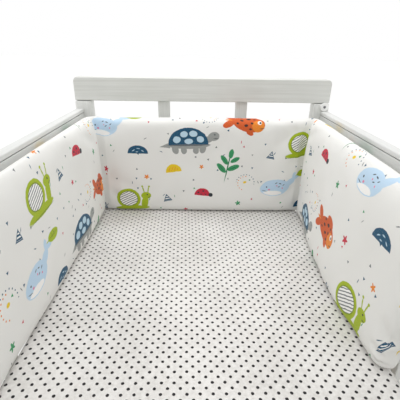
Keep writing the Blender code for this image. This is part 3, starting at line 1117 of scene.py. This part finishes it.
@dataclass
class FittedSheet:
    """The dotted sheet: taut over the top, down the sides, and tucked under the mattress all round.

    Below tight_share of its side it is drawn in by about gather, in gathers of two lengths. The hidden and the
    baked fields lay out the square that its picture is baked to.
    """

    corner: float = 0.030
    edge: float = 0.0105
    hem: float = 0.055
    hem_corner: float = 0.014
    thick: float = 0.0010
    cell: float = 0.0125
    slack: float = 0.0007
    soft: Waves = Waves(7.0, 7.0, 3.0)
    wrinkles: Waves = Waves(1.0, 1.0, 7.0)
    wrinkle_ways: tuple[tuple[float, float], ...] = ((14.0, 9.0), (-3.0, 5.0))
    wrinkle_share: float = 0.3
    gather: float = 0.0006
    gathers: tuple[int, int] = (97, 13)
    tight_share: float = 0.4
    turn_loose: float = 0.7
    edge_steps: int = 5
    side_steps: int = 8
    hem_steps: int = 5
    flat_half: tuple[float, float] = (0.462, 0.760)
    hidden_size: float = 0.36
    hidden_start: float = 0.63
    baked_size: float = 0.99
    baked_start: float = 0.004

    def rounded(self, x: float, y: float, half: tuple[float, float]) -> tuple[Vector, Vector]:
        """Moves a point of a square-cornered grid so that the grid's corners are round.

        Args:
            x: Its place across.
            y: Its place along.
            half: Half the grid's width and length.

        Returns:
            Its new place, and the direction out of the sheet there.
        """
        core = [h - self.corner for h in half]
        over = [max(abs(v) - c, 0.0) / self.corner for v, c in zip((x, y), core)]
        signs = (math.copysign(1, x), math.copysign(1, y))
        if min(over) <= 0:
            way = Vector((signs[0], 0)) if over[0] >= over[1] else Vector((0, signs[1]))
            return Vector((x, y)), way
        u = over[0] * math.sqrt(1 - over[1] ** 2 / 2)
        v = over[1] * math.sqrt(1 - over[0] ** 2 / 2)
        way = Vector((signs[0] * u, signs[1] * v))
        return Vector((signs[0] * core[0], signs[1] * core[1])) + way * self.corner, way.normalized()

    def build(self) -> None:
        low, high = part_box("fitted_sheet")
        half = ((high.x - low.x) / 2 - self.edge, (high.y - low.y) / 2 - self.edge)
        counts = [2 * round(h / self.cell) for h in half]
        centre = (low + high) / 2
        shape = bmesh.new()
        print_map = shape.loops.layers.uv.new(PRINT_MAP)
        grid, ways, flat = {}, {}, {}
        for i in range(counts[0] + 1):
            for j in range(counts[1] + 1):
                at, ways[i, j] = self.rounded(*(h * (2 * n / c - 1) for h, n, c in zip(half, (i, j), counts)), half)
                grid[i, j] = shape.verts.new((*at, high.z - self.sag(at)))
                flat[grid[i, j]] = at + centre.xy
        for i in range(counts[0]):
            for j in range(counts[1]):
                shape.faces.new((grid[i, j], grid[i + 1, j], grid[i + 1, j + 1], grid[i, j + 1]))
        rim = ([(i, 0) for i in range(counts[0])] + [(counts[0], j) for j in range(counts[1])]
               + [(i, counts[1]) for i in range(counts[0], 0, -1)] + [(0, j) for j in range(counts[1], 0, -1)])
        ring = [grid[key] for key in rim]
        walked, last = 0.0, (0.0, 0.0)
        for reach, radius, down, loose in self.skirt(high.z - low.z):
            below = []
            walked += math.dist(last, (reach, down))
            last = (reach, down)
            for number, key in enumerate(rim):
                phase = 2 * math.pi * number / len(rim)
                waves = math.sin(self.gathers[0] * phase) * math.cos(self.gathers[1] * phase)
                fold = loose * self.gather * (1 + waves)
                at = self.ring_point(grid[key].co, ways[key], half, reach - fold, radius)
                below.append(shape.verts.new((*at, high.z - self.slack - down)))
                flat[below[-1]] = grid[key].co.xy + ways[key] * walked + centre.xy
            for i, other in enumerate(below):
                j = (i + 1) % len(rim)
                shape.faces.new((ring[i], other, below[j], ring[j]))
            ring = below
        for face in shape.faces:
            for loop in face.loops:
                loop[print_map].uv = flat[loop.vert]
        bmesh.ops.translate(shape, vec=(centre.x, centre.y, 0.0), verts=shape.verts)
        mesh = self.with_thickness(finished_mesh(shape, "sheet", sharp=80.0), centre)
        sheet = add_piece("dotted_sheet", mesh, DottedCotton().material(), ["fitted_sheet"])

    def ring_point(self, at: Vector, way: Vector, half: tuple[float, float], reach: float, radius: float) -> Vector:
        """The point of another ring that goes with a point of the top's rim.

        Args:
            at: The rim's point.
            way: The direction out of the sheet there.
            half: Half the top's width and length.
            reach: How far outside the rim the ring runs.
            radius: The ring's corner radius.

        Returns:
            The ring's point, in plan.
        """
        made = []
        for axis in range(2):
            old = half[axis] - self.corner
            new = half[axis] + reach - radius
            made.append(max(-old, min(old, at[axis])) * new / old + way[axis] * radius)
        return Vector(made)

    def skirt(self, deep: float) -> list[tuple[float, float, float, float]]:
        """The sheet's path from the rim of its top, down and under.

        Args:
            deep: The height of the sheeted mattress.

        Returns:
            For each row, how far out of the rim it is, its corner radius, how far down and how loose it is.
        """
        turns = [math.pi / 2 * i / self.edge_steps for i in range(1, self.edge_steps + 1)]
        outs = [(self.edge * math.sin(t), self.edge * (1 - math.cos(t)), 0.0) for t in turns]
        deep -= self.slack
        for i in range(1, self.side_steps + 1):
            share = i / self.side_steps
            outs.append((self.edge, self.edge + (deep - 2 * self.edge) * share, max(share - self.tight_share, 0.0)))
        outs += [(self.edge * math.cos(t), deep - self.edge * (1 - math.sin(t)), self.turn_loose) for t in turns]
        rows = [(out, self.corner + out, down, loose) for out, down, loose in outs]
        for i in range(1, self.hem_steps + 1):
            share = i / self.hem_steps
            rows.append((-self.hem * share, self.corner + (self.hem_corner - self.corner) * share, deep, 1.0))
        return rows

    def sag(self, at: Vector) -> float:
        """How far the top hangs under its highest plane: soft slackness and a few faint wrinkles.

        Args:
            at: The place, from the middle of the bed.

        Returns:
            Metres.
        """
        soft = 0.5 + 0.5 * self.soft.at(at.x, at.y)
        fine = abs(self.wrinkles.at(*(at.x * way[0] + at.y * way[1] for way in self.wrinkle_ways)))
        return self.slack * (soft + (fine - soft) * self.wrinkle_share)

    def with_thickness(self, mesh: bpy.types.Mesh, centre: Vector) -> bpy.types.Mesh:
        """Gives the open cloth its thickness, inwards, and lays the map that its picture is baked to.

        The outer face lies flat on the square, and the hidden one, much smaller, beside it.

        Args:
            mesh: The open cloth.
            centre: The middle of the bed.

        Returns:
            The closed mesh.
        """
        outer = len(mesh.polygons)
        cloth = put("cloth", mesh)
        solid = cloth.modifiers.new("thickness", "SOLIDIFY")
        solid.thickness = self.thick
        solid.offset = -1.0
        made = settled(cloth)
        bpy.data.objects.remove(cloth)
        laid = made.uv_layers[PRINT_MAP].uv
        baked = made.uv_layers.new(name=BAKE_MAP).uv
        for face in made.polygons:
            size, start = (1.0, self.baked_start) if face.index < outer else (self.hidden_size, self.hidden_start)
            for number in face.loop_indices:
                spot = (laid[number].vector - centre.xy + Vector(self.flat_half)) / (2 * self.flat_half[1])
                baked[number].vector = spot * size * self.baked_size + Vector((start, self.baked_start))
        return made


def settled(piece: bpy.types.Object) -> bpy.types.Mesh:
    """The mesh of an object as its modifiers leave it.

    Args:
        piece: The object.

    Returns:
        A new mesh.
    """
    bpy.context.view_layer.update()
    graph = bpy.context.evaluated_depsgraph_get()
    return bpy.data.meshes.new_from_object(piece.evaluated_get(graph))


@dataclass(frozen=True)
class Section:
    """A cross-section of the bumper: its thickness, how far its foot stands in, its height, how square the top's
    inner edge is, and how far the top falls from its crest to its outer edge.

    A place is the number of the leg of the U and the share of it: 0 left side, 1 left corner, 2 head, 3 right
    corner, 4 right side.
    """

    place: float
    thick: float
    foot_in: float
    height: float
    edge: float
    fall: float


@dataclass(frozen=True)
class Crease:
    """A soft trough or, where its depth is less than 0, a ridge in the bumper's cloth.

    It runs from one point to another, each a place and a height over the sheet. On the inner face the place is that
    on the U, and on an end the distance out from the middle line.
    """

    start: tuple[float, float]
    end: tuple[float, float]
    width: float
    depth: float

    def at(self, point: Vector, start: Vector, end: Vector) -> float:
        """Its depth at a point of the cloth.

        Args:
            point: The point.
            start: The crease's start, in the same units as the point.
            end: Its end, where it runs out.

        Returns:
            Metres.
        """
        way = end - start
        share = max(0.0, min(1.0, (point - start).dot(way) / way.length_squared))
        distance = (point - start - way * share).length
        return self.depth * math.exp(-(distance / self.width) ** 2) * (1 - share * share)


@dataclass
class Bumper:
    """The padded bumper: one filled tube of printed cotton, folded into a U and standing on the sheet.

    billow and scallop are how high the waves are on its bed side and along its top. Near a corner only corner_share
    of the billow is left, and it grows back with the distance over corner_reach. The fields from seen_share to
    back_row lay out the square that the cloth's picture is baked to: the bed side in two rows, the back in two
    smaller ones.
    """

    thick: float = 0.042
    corner: float = 0.046
    wall_x: float = 0.3415
    end_y: float = 0.610
    wall_gap: float = 0.0005
    head_gap: float = 0.0104
    left_end: float = -0.262
    right_end: float = -0.019
    end_round: float = 0.024
    end_power: float = 3.0
    end_flat: float = 0.2
    end_drop: float = 0.020
    end_lift: float = 0.012
    edge_power: float = 12.0
    crest: float = -0.4
    fall_power: float = 8.0
    crown: float = 0.10
    step: float = 0.0065
    around: int = 140
    round_steps: int = 9
    turn_steps: int = 18
    least_step: float = 0.0004
    billow: float = 0.0028
    broad: Waves = Waves(9.0, 7.0, 1.7)
    narrow: Waves = Waves(21.0, 16.0, 5.1)
    narrow_share: float = 0.5
    corner_share: float = 0.2
    corner_reach: float = 0.06
    tuck: float = 0.0018
    tuck_power: int = 4
    scallop: float = 0.0036
    scallops: Waves = Waves(38.0, 22.0, 8.3)
    scallop_lean: float = 0.4
    scallop_power: int = 3
    seen_share: float = 0.55
    baked_margin: float = 0.006
    baked_row: float = 0.375
    back_size: float = 0.42
    back_from: float = 0.345
    back_start: float = 0.752
    back_row: float = 0.132
    sections: tuple[Section, ...] = (
        Section(0.00, 0.0360, 0.0105, 0.2830, 8, 0.002),
        Section(0.30, 0.0350, 0.0095, 0.2850, 8, 0.002),
        Section(0.62, 0.0370, 0.0115, 0.2870, 8, 0.002),
        Section(0.88, 0.0450, 0.0105, 0.2880, 8, 0.001),
        Section(1.10, 0.0490, 0.0060, 0.2880, 9, 0.000),
        Section(1.48, 0.0300, 0.0000, 0.2860, 10, 0.000),
        Section(2.00, 0.0430, 0.0000, 0.2820, 12, -0.008),
        Section(2.07, 0.0480, 0.0000, 0.2810, 12, -0.010),
        Section(2.50, 0.0500, 0.0000, 0.2835, 12, -0.010),
        Section(2.93, 0.0490, 0.0000, 0.2820, 12, -0.010),
        Section(3.00, 0.0440, 0.0000, 0.2830, 12, -0.008),
        Section(3.52, 0.0300, 0.0000, 0.2880, 10, 0.000),
        Section(3.90, 0.0500, 0.0040, 0.2890, 9, 0.000),
        Section(4.10, 0.0530, 0.0085, 0.2890, 8, 0.002),
        Section(4.26, 0.0530, 0.0235, 0.2870, 8, 0.003),
        Section(4.46, 0.0520, 0.0330, 0.2850, 8, 0.003),
        Section(4.62, 0.0520, 0.0385, 0.2835, 8, 0.003),
        Section(4.74, 0.0520, 0.0375, 0.2820, 8, 0.003),
        Section(4.88, 0.0525, 0.0300, 0.2805, 8, 0.003),
        Section(5.00, 0.0530, 0.0265, 0.2790, 8, 0.003),
    )
    creases: tuple[Crease, ...] = (
        Crease((2.02, 0.060), (2.16, 0.015), 0.014, 0.0036),
        Crease((2.02, 0.110), (2.24, 0.050), 0.018, 0.0024),
        Crease((2.00, 0.240), (2.14, 0.275), 0.012, 0.0024),
        Crease((2.99, 0.250), (2.86, 0.200), 0.014, 0.0030),
        Crease((2.98, 0.160), (2.78, 0.080), 0.018, 0.0024),
        Crease((2.96, 0.255), (2.70, 0.060), 0.030, 0.0045),
        Crease((2.30, 0.020), (2.46, 0.090), 0.022, 0.0024),
        Crease((2.60, 0.262), (2.52, 0.190), 0.020, -0.0021),
        Crease((2.99, 0.080), (2.90, 0.020), 0.014, 0.0030),
        Crease((0.97, 0.230), (0.86, 0.270), 0.014, 0.0027),
        Crease((0.98, 0.120), (0.86, 0.060), 0.016, 0.0024),
        Crease((4.02, 0.250), (4.16, 0.280), 0.014, 0.0027),
        Crease((4.02, 0.080), (4.14, 0.030), 0.014, 0.0027),
        Crease((5.00, 0.028), (4.955, 0.042), 0.0048, 0.0080),
        Crease((5.00, 0.012), (4.950, 0.016), 0.0042, 0.0065),
        Crease((4.998, 0.052), (4.968, 0.100), 0.0075, 0.0070),
        Crease((4.985, 0.230), (4.980, 0.090), 0.014, 0.0050),
        Crease((4.97, 0.270), (4.90, 0.235), 0.010, 0.0036),
    )
    end_creases: tuple[Crease, ...] = (
        Crease((-0.0310, 0.0210), (-0.0195, 0.0440), 0.0042, 0.0110),
        Crease((-0.0240, 0.0110), (-0.0120, 0.0270), 0.0060, -0.0050),
        Crease((-0.0420, 0.0120), (-0.0340, 0.0110), 0.0040, 0.0070),
        Crease((-0.0300, 0.0640), (-0.0180, 0.0960), 0.0080, 0.0060),
        Crease((-0.0140, 0.1500), (-0.0240, 0.1150), 0.0070, 0.0040),
    )

    def route(self) -> tuple[tuple[str, float, tuple[float, float], object], ...]:
        """The legs of the line through the bumper's middle, from its left end.

        Returns:
            For each leg its kind and length; then a run's start and direction, or a turn's centre and first angle.
        """
        middle_x = self.wall_x - self.wall_gap - self.thick / 2
        turn_y = self.end_y - self.head_gap - self.thick / 2 - self.corner
        turn_x = middle_x - self.corner
        quarter = self.corner * math.pi / 2
        return (
            ("run", turn_y - self.left_end, (-middle_x, self.left_end), (0.0, 1.0)),
            ("turn", quarter, (-turn_x, turn_y), math.pi),
            ("run", 2 * turn_x, (-turn_x, turn_y + self.corner), (1.0, 0.0)),
            ("turn", quarter, (turn_x, turn_y), math.pi / 2),
            ("run", turn_y - self.right_end, (middle_x, turn_y), (0.0, -1.0)),
        )

    @property
    def length(self) -> float:
        """Length of the line through the bumper's middle."""
        return sum(leg[1] for leg in self.route())

    def along(self, place: float) -> float:
        """Distance along the bumper of a place on the U.

        Args:
            place: The leg's number and the share of the leg.

        Returns:
            Metres from the left end.
        """
        legs = self.route()
        number = min(int(place), len(legs) - 1)
        return sum(leg[1] for leg in legs[:number]) + legs[number][1] * (place - number)

    def leg(self, along: float) -> tuple[int, tuple, float]:
        """The leg of the U at a distance along the bumper.

        Args:
            along: The distance.

        Returns:
            The leg's number, its route and the distance into it.
        """
        legs = self.route()
        for number, leg in enumerate(legs):
            if along <= leg[1] or number == len(legs) - 1:
                return number, leg, along
            along -= leg[1]
        raise ValueError(along)

    def middle(self, along: float) -> tuple[tuple[float, float], tuple[float, float]]:
        """The bumper's middle line at a distance along it.

        Args:
            along: The distance.

        Returns:
            The point in plan, and the direction out of the bed there.
        """
        _, (kind, _, origin, way), into = self.leg(along)
        if kind == "run":
            return (origin[0] + way[0] * into, origin[1] + way[1] * into), (-way[1], way[0])
        angle = way - into / self.corner
        out = (math.cos(angle), math.sin(angle))
        return (origin[0] + self.corner * out[0], origin[1] + self.corner * out[1]), out

    def section(self, along: float) -> tuple[float, ...]:
        """The cross-section at a distance along, eased between the given ones.

        Args:
            along: The distance.

        Returns:
            Its thickness, how far its foot stands in, its height, how square its edge is, and its fall.
        """
        number, leg, into = self.leg(along)
        place = number + into / leg[1]
        pairs = list(zip(self.sections, self.sections[1:]))
        before, after = next((pair for pair in pairs if place <= pair[1].place), pairs[-1])
        share = min(max((place - before.place) / (after.place - before.place), 0.0), 1.0)
        share = share * share * (3 - 2 * share)
        ends = ((s.thick, s.foot_in, s.height, s.edge, s.fall) for s in (before, after))
        return tuple(a + (b - a) * share for a, b in zip(*ends))

    def stations(self) -> list[float]:
        """Where the mesh's rows lie, closer where the ends are round and the corners turn.

        Returns:
            Their distances along the bumper.
        """
        total = self.length
        turns = (math.pi / 2 * i / self.round_steps for i in range(self.round_steps))
        ends = [self.end_round * (1 - math.cos(turn)) for turn in turns]
        rows = {round(d, 6) for d in ends} | {round(total - d, 6) for d in ends}
        start = 0.0
        for kind, length, *_ in self.route():
            steps = self.turn_steps if kind == "turn" else round(length / self.step)
            inner = (start + length * i / steps for i in range(steps + 1))
            rows |= {round(d, 6) for d in inner if self.end_round < d < total - self.end_round}
            start += length
        kept: list[float] = []
        for row in sorted(rows):
            if not kept or row - kept[-1] > self.least_step:
                kept.append(row)
        return kept

    def relief(self, along: float, up: float) -> float:
        """How far the inner face stands out from its plain form at a point.

        Args:
            along: Distance along the bumper.
            up: Height over the sheet.

        Returns:
            Metres, less than 0 in a trough.
        """
        waves = self.broad.at(along, up) + self.narrow_share * self.narrow.at(along, up)
        turns = [(self.along(n), self.along(n + 1)) for n in (1, 3)]
        from_turn = min(max(start - along, along - stop, 0.0) for start, stop in turns)
        height = self.billow * waves * min(self.corner_share + from_turn / self.corner_reach, 1.0)
        return height - sum(crease.at(Vector((along, up)), *ends) for crease, *ends in self.crease_lines)

    @cached_property
    def crease_lines(self) -> list[tuple[Crease, Vector, Vector]]:
        """The inner face's creases, each with its two ends as distance along the bumper and height."""
        return [(crease, *(Vector((self.along(place), up)) for place, up in (crease.start, crease.end)))
                for crease in self.creases]

    def pucker(self, along: float, out: float, up: float) -> float:
        """How far a point near an end is drawn into the bumper, along its length, by the creases of the end.

        Args:
            along: Distance along the bumper.
            out: Distance out from the middle line.
            up: Height over the sheet.

        Returns:
            Metres.
        """
        share = 1 - min(along, self.length - along) / self.end_round
        if share <= 0:
            return 0.0
        point = Vector((out, up))
        return share * sum(crease.at(point, Vector(crease.start), Vector(crease.end)) for crease in self.end_creases)

    def seam_waves(self, along: float, up: float) -> float:
        """How far the cloth near the top stands out or in, in soft scallops, at a distance along and a height."""
        return self.scallop * (self.scallops.at(along, up) - self.scallop_lean)

    def ring(self, along: float, floor: float) -> tuple[list[Point], list[float]]:
        """One closed cross-section, from the middle of its foot up the bed side and down the outer side.

        Args:
            along: Distance along the bumper.
            floor: Height of the sheet.

        Returns:
            Its points, and each one's distance round the cloth from the foot.
        """
        (x, y), (out_x, out_y) = self.middle(along)
        thick, foot_in, height, square, fall = self.section(along)
        from_end = min(min(along, self.length - along) / self.end_round, 1.0)
        power = self.end_power
        end = max(1 - (1 - from_end) ** power, self.end_flat ** power) ** (1 / power)
        bottom = GAP + self.end_lift * (1 - end)
        top = height - self.end_drop * (1 - end)
        shift = (self.thick - thick) / 2
        points: list[Point] = []
        for i in range(self.around):
            angle = -math.pi / 2 + 2 * math.pi * i / self.around
            level = math.sin(angle)
            side = -1 if i < self.around / 2 else 1
            share = (level + 1) / 2
            up = bottom + (top - bottom) * share
            crown = (1 + self.crown * (1 - level * level)) / (1 + self.crown)
            edge = math.sqrt(max(1 - abs(level) ** (square if side < 0 < level else self.edge_power), 0.0))
            half = thick / 2 * end * crown * edge
            if side < 0:
                half += self.relief(along, up) * edge * end
                half += self.seam_waves(along, up) * end * max(level, 0.0) ** self.scallop_power * edge
            else:
                half -= self.tuck * end * max(level, 0.0) ** self.tuck_power
            out = shift + side * half - foot_in * (1 - share)
            away = (side * half / (thick / 2) - self.crest) / (1 - self.crest)
            drop = fall * away * away * max(level, 0.0) ** self.fall_power
            points.append((x + out_x * out, y + out_y * out + self.pucker(along, out, up), floor + up - drop))
        walked = [0.0]
        for a, b in zip(points, points[1:] + points[:1]):
            walked.append(walked[-1] + math.dist(a, b))
        return points, walked

    def build(self) -> None:
        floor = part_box("bumper")[0].z - GAP
        stations = self.stations()
        rings = [self.ring(along, floor) for along in stations]
        shape = bmesh.new()
        print_map = shape.loops.layers.uv.new(PRINT_MAP)
        bake_map = shape.loops.layers.uv.new(BAKE_MAP)
        rows = [[shape.verts.new(point) for point in points] for points, _ in rings]
        lengths = self.cloth_lengths(stations, [points for points, _ in rings])
        count = self.around
        for k, (first, second) in enumerate(zip(rows, rows[1:])):
            for i in range(count):
                j = (i + 1) % count
                face = shape.faces.new((first[i], second[i], second[j], first[j]))
                places = ((k, i), (k + 1, i), (k + 1, i + 1), (k, i + 1))
                middle = (stations[k] + stations[k + 1]) / 2
                for loop, (row, number) in zip(face.loops, places):
                    up = rings[row][1][number]
                    loop[print_map].uv = (lengths[row], up)
                    loop[bake_map].uv = self.bake_place((stations[row], up), middle,
                                                            i < count * self.seen_share)
        for row, flip in ((0, False), (len(rows) - 1, True)):
            places = (lengths[row], stations[row])
            self.close_end(shape, rows[row], places, rings[row][1], flip, print_map, bake_map)
        mesh = finished_mesh(shape, "bumper_cloth", sharp=75.0)
        piece = add_piece("padded_bumper", mesh, PrintedCotton().material(), ["bumper"])

    def cloth_lengths(self, stations: Sequence[float], rings: Sequence[Sequence[Point]]) -> list[float]:
        """How far along the cloth each row lies, which is further than the middle line where an end turns in.

        Args:
            stations: The rows' distances along the middle line.
            rings: Their points.

        Returns:
            Each row's length of cloth, which is its distance along at the middle of the bumper.
        """
        side = self.around // 4
        walked = [0.0]
        for k in range(1, len(stations)):
            step = stations[k] - stations[k - 1]
            near_end = min(stations[k], self.length - stations[k - 1]) < self.end_round
            walked.append(walked[-1] + (math.dist(rings[k - 1][side], rings[k][side]) if near_end else step))
        extra = (walked[-1] - self.length) / 2
        return [length - extra for length in walked]

    def bake_place(self, spot: tuple[float, float], middle: float, seen: bool) -> tuple[float, float]:
        """Where a point of the cloth lies on the square that its picture is baked to.

        The bed side and the top lie in two long rows, and the outer side, at half the size, above them.

        Args:
            spot: Distance along the bumper and round it.
            middle: Distance along of the face's middle, which chooses its row.
            seen: True for the bed side and the top.

        Returns:
            The place on the square.
        """
        half, margin = self.length / 2, self.baked_margin
        row = 0 if middle < half else 1
        along, up = spot[0] - row * half, spot[1]
        if seen:
            lift = row * self.baked_row + up
        else:
            lift = self.back_start + row * self.back_row + (up - self.back_from) * self.back_size
        side = half + 2 * margin
        return (margin + along) / side, (margin + lift) / side

    def close_end(self, shape: bmesh.types.BMesh, row: list, places: tuple[float, float], walked: list[float],
                  flip: bool, print_map: object, bake_map: object) -> None:
        """Closes one end with a narrow strip of cloth between its two sides.

        Args:
            shape: The bumper's shape.
            row: The end's ring of points.
            places: Its length of cloth and its distance along the middle line.
            walked: Each point's distance round the ring.
            flip: True at the far end.
            print_map: The layer of the print's map.
            bake_map: The layer of the bake's map.
        """
        count = len(row)
        for i in range(count // 2):
            inner, outer = (i, i + 1), (-(i + 1) % count, -i % count)
            numbers = [inner[0], inner[1], outer[0], outer[1]]
            kept = list(dict.fromkeys(numbers))
            if len(kept) < 3:
                continue
            corners = [row[n] for n in kept]
            face = shape.faces.new(corners[::-1] if flip else corners)
            for loop in face.loops:
                number = kept[corners.index(loop.vert)]
                far = number > count // 2
                twin = count - number if far else number
                width = (row[number].co - row[twin].co).length * (1 if flip else -1)
                loop[print_map].uv = (places[0] + width, walked[twin])
                loop[bake_map].uv = self.bake_place((places[1] + width / 2, walked[twin]), places[1], True)


@dataclass
class Studio:
    """A plain pale floor, soft light from above, and the camera at the photograph's angle."""

    lens: float = 31.5
    clip: tuple[float, float] = (0.02, 100.0)
    place: Point = (-0.017, -0.416, 0.9927)
    turn: Point = (1.1521, -0.0130, -0.0068)
    floor_size: float = 60.0
    floor_cells: int = 8
    floor_gap: float = 0.0005
    floor_rough: tuple[float, float] = (0.1, 0.75)
    cloud_scale: float = 1.5
    floor_colour: Colour = srgb(251, 251, 250)
    sun: float = 1.32
    sun_spread: float = math.radians(100)
    sun_tilt: tuple[float, float] = (math.radians(9), math.radians(-1))
    lamp_power: float = 3.6
    lamp_size: float = 0.8
    lamp_place: Point = (-0.08, 0.62, 1.62)
    lamp_aim: Point = (0.0, 0.2, 0.5)
    sky: float = 0.66
    near_sky: float = 0.62
    horizon: float = 1.0
    horizon_band: tuple[float, float] = (0.13, 0.24)
    front_band: tuple[float, float] = (-0.35, 0.35)

    def build(self) -> None:
        """Sets up the camera, the floor and the light."""
        scene = bpy.context.scene
        lens = bpy.data.cameras.new("camera")
        lens.lens = self.lens
        lens.clip_start, lens.clip_end = self.clip
        camera = put("camera", lens)
        camera.location = self.place
        camera.rotation_euler = Euler(self.turn, "XYZ")
        scene.camera = camera
        scene.view_settings.view_transform = "Standard"
        self.build_floor()
        self.build_light(scene)
        LOG.info("studio ready")

    def build_floor(self) -> None:
        """Lays the floor just under the legs."""
        shape = bmesh.new()
        cells = self.floor_cells
        bmesh.ops.create_grid(shape, x_segments=cells, y_segments=cells, size=self.floor_size / 2)
        mesh = bpy.data.meshes.new("floor")
        shape.to_mesh(mesh)
        shape.free()
        graph = Graph("pale_floor")
        rough = graph.spread(graph.noise(graph.place(), self.cloud_scale), *self.floor_rough)
        mesh.materials.append(graph.finish(self.floor_colour, rough, Specular_IOR_Level=0.1))
        floor = put("floor", mesh)
        floor.location.z = -self.floor_gap

    def build_light(self, scene: bpy.types.Scene) -> None:
        """Hangs a wide soft sun and a small lamp over the head end, in a sky brightest beyond the head end.

        Args:
            scene: The scene.
        """
        high = bpy.data.lights.new("overhead", "SUN")
        high.energy, high.angle = self.sun, self.sun_spread
        put("overhead", high).rotation_euler = (*self.sun_tilt, 0.0)
        near = bpy.data.lights.new("head_end", "AREA")
        near.energy, near.shape, near.size = self.lamp_power, "DISK", self.lamp_size
        lamp = put("head_end", near)
        lamp.location = self.lamp_place
        lamp.rotation_euler = (Vector(self.lamp_aim) - lamp.location).to_track_quat("-Z", "Y").to_euler()
        lamp.visible_camera = False
        world = bpy.data.worlds.new("studio")
        world.use_nodes = True
        scene.world = world
        sky = Graph.of(world.node_tree)
        way = sky.node("ShaderNodeTexCoord", {}, {}, "Generated")
        band, front = (
            sky.node("ShaderNodeMapRange", {"interpolation_type": "SMOOTHSTEP"},
                     {0: way.part(axis), 1: reach[0], 2: reach[1], 3: start, 4: 1.0 - start})
            for axis, reach, start in ((2, self.horizon_band, 1.0), (1, self.front_band, 0.0)))
        level = self.near_sky + front * (self.sky - self.near_sky)
        glow = level + band * front * (self.horizon - self.sky)
        sky.feed(world.node_tree.nodes["Background"].inputs["Strength"], glow)
        world.node_tree.nodes["Background"].inputs["Color"].default_value = (1.0, 1.0, 1.0, 1.0)


def main() -> None:
    """Builds every piece in order."""
    logging.basicConfig(level=logging.INFO, format="%(name)s %(message)s")
    Studio().build()
    Woodwork().build()
    PostCap().build()
    Mattress().build()
    FittedSheet().build()
    Bumper().build()
    LOG.info("sizes written")


if __name__ == "__main__":
    main()
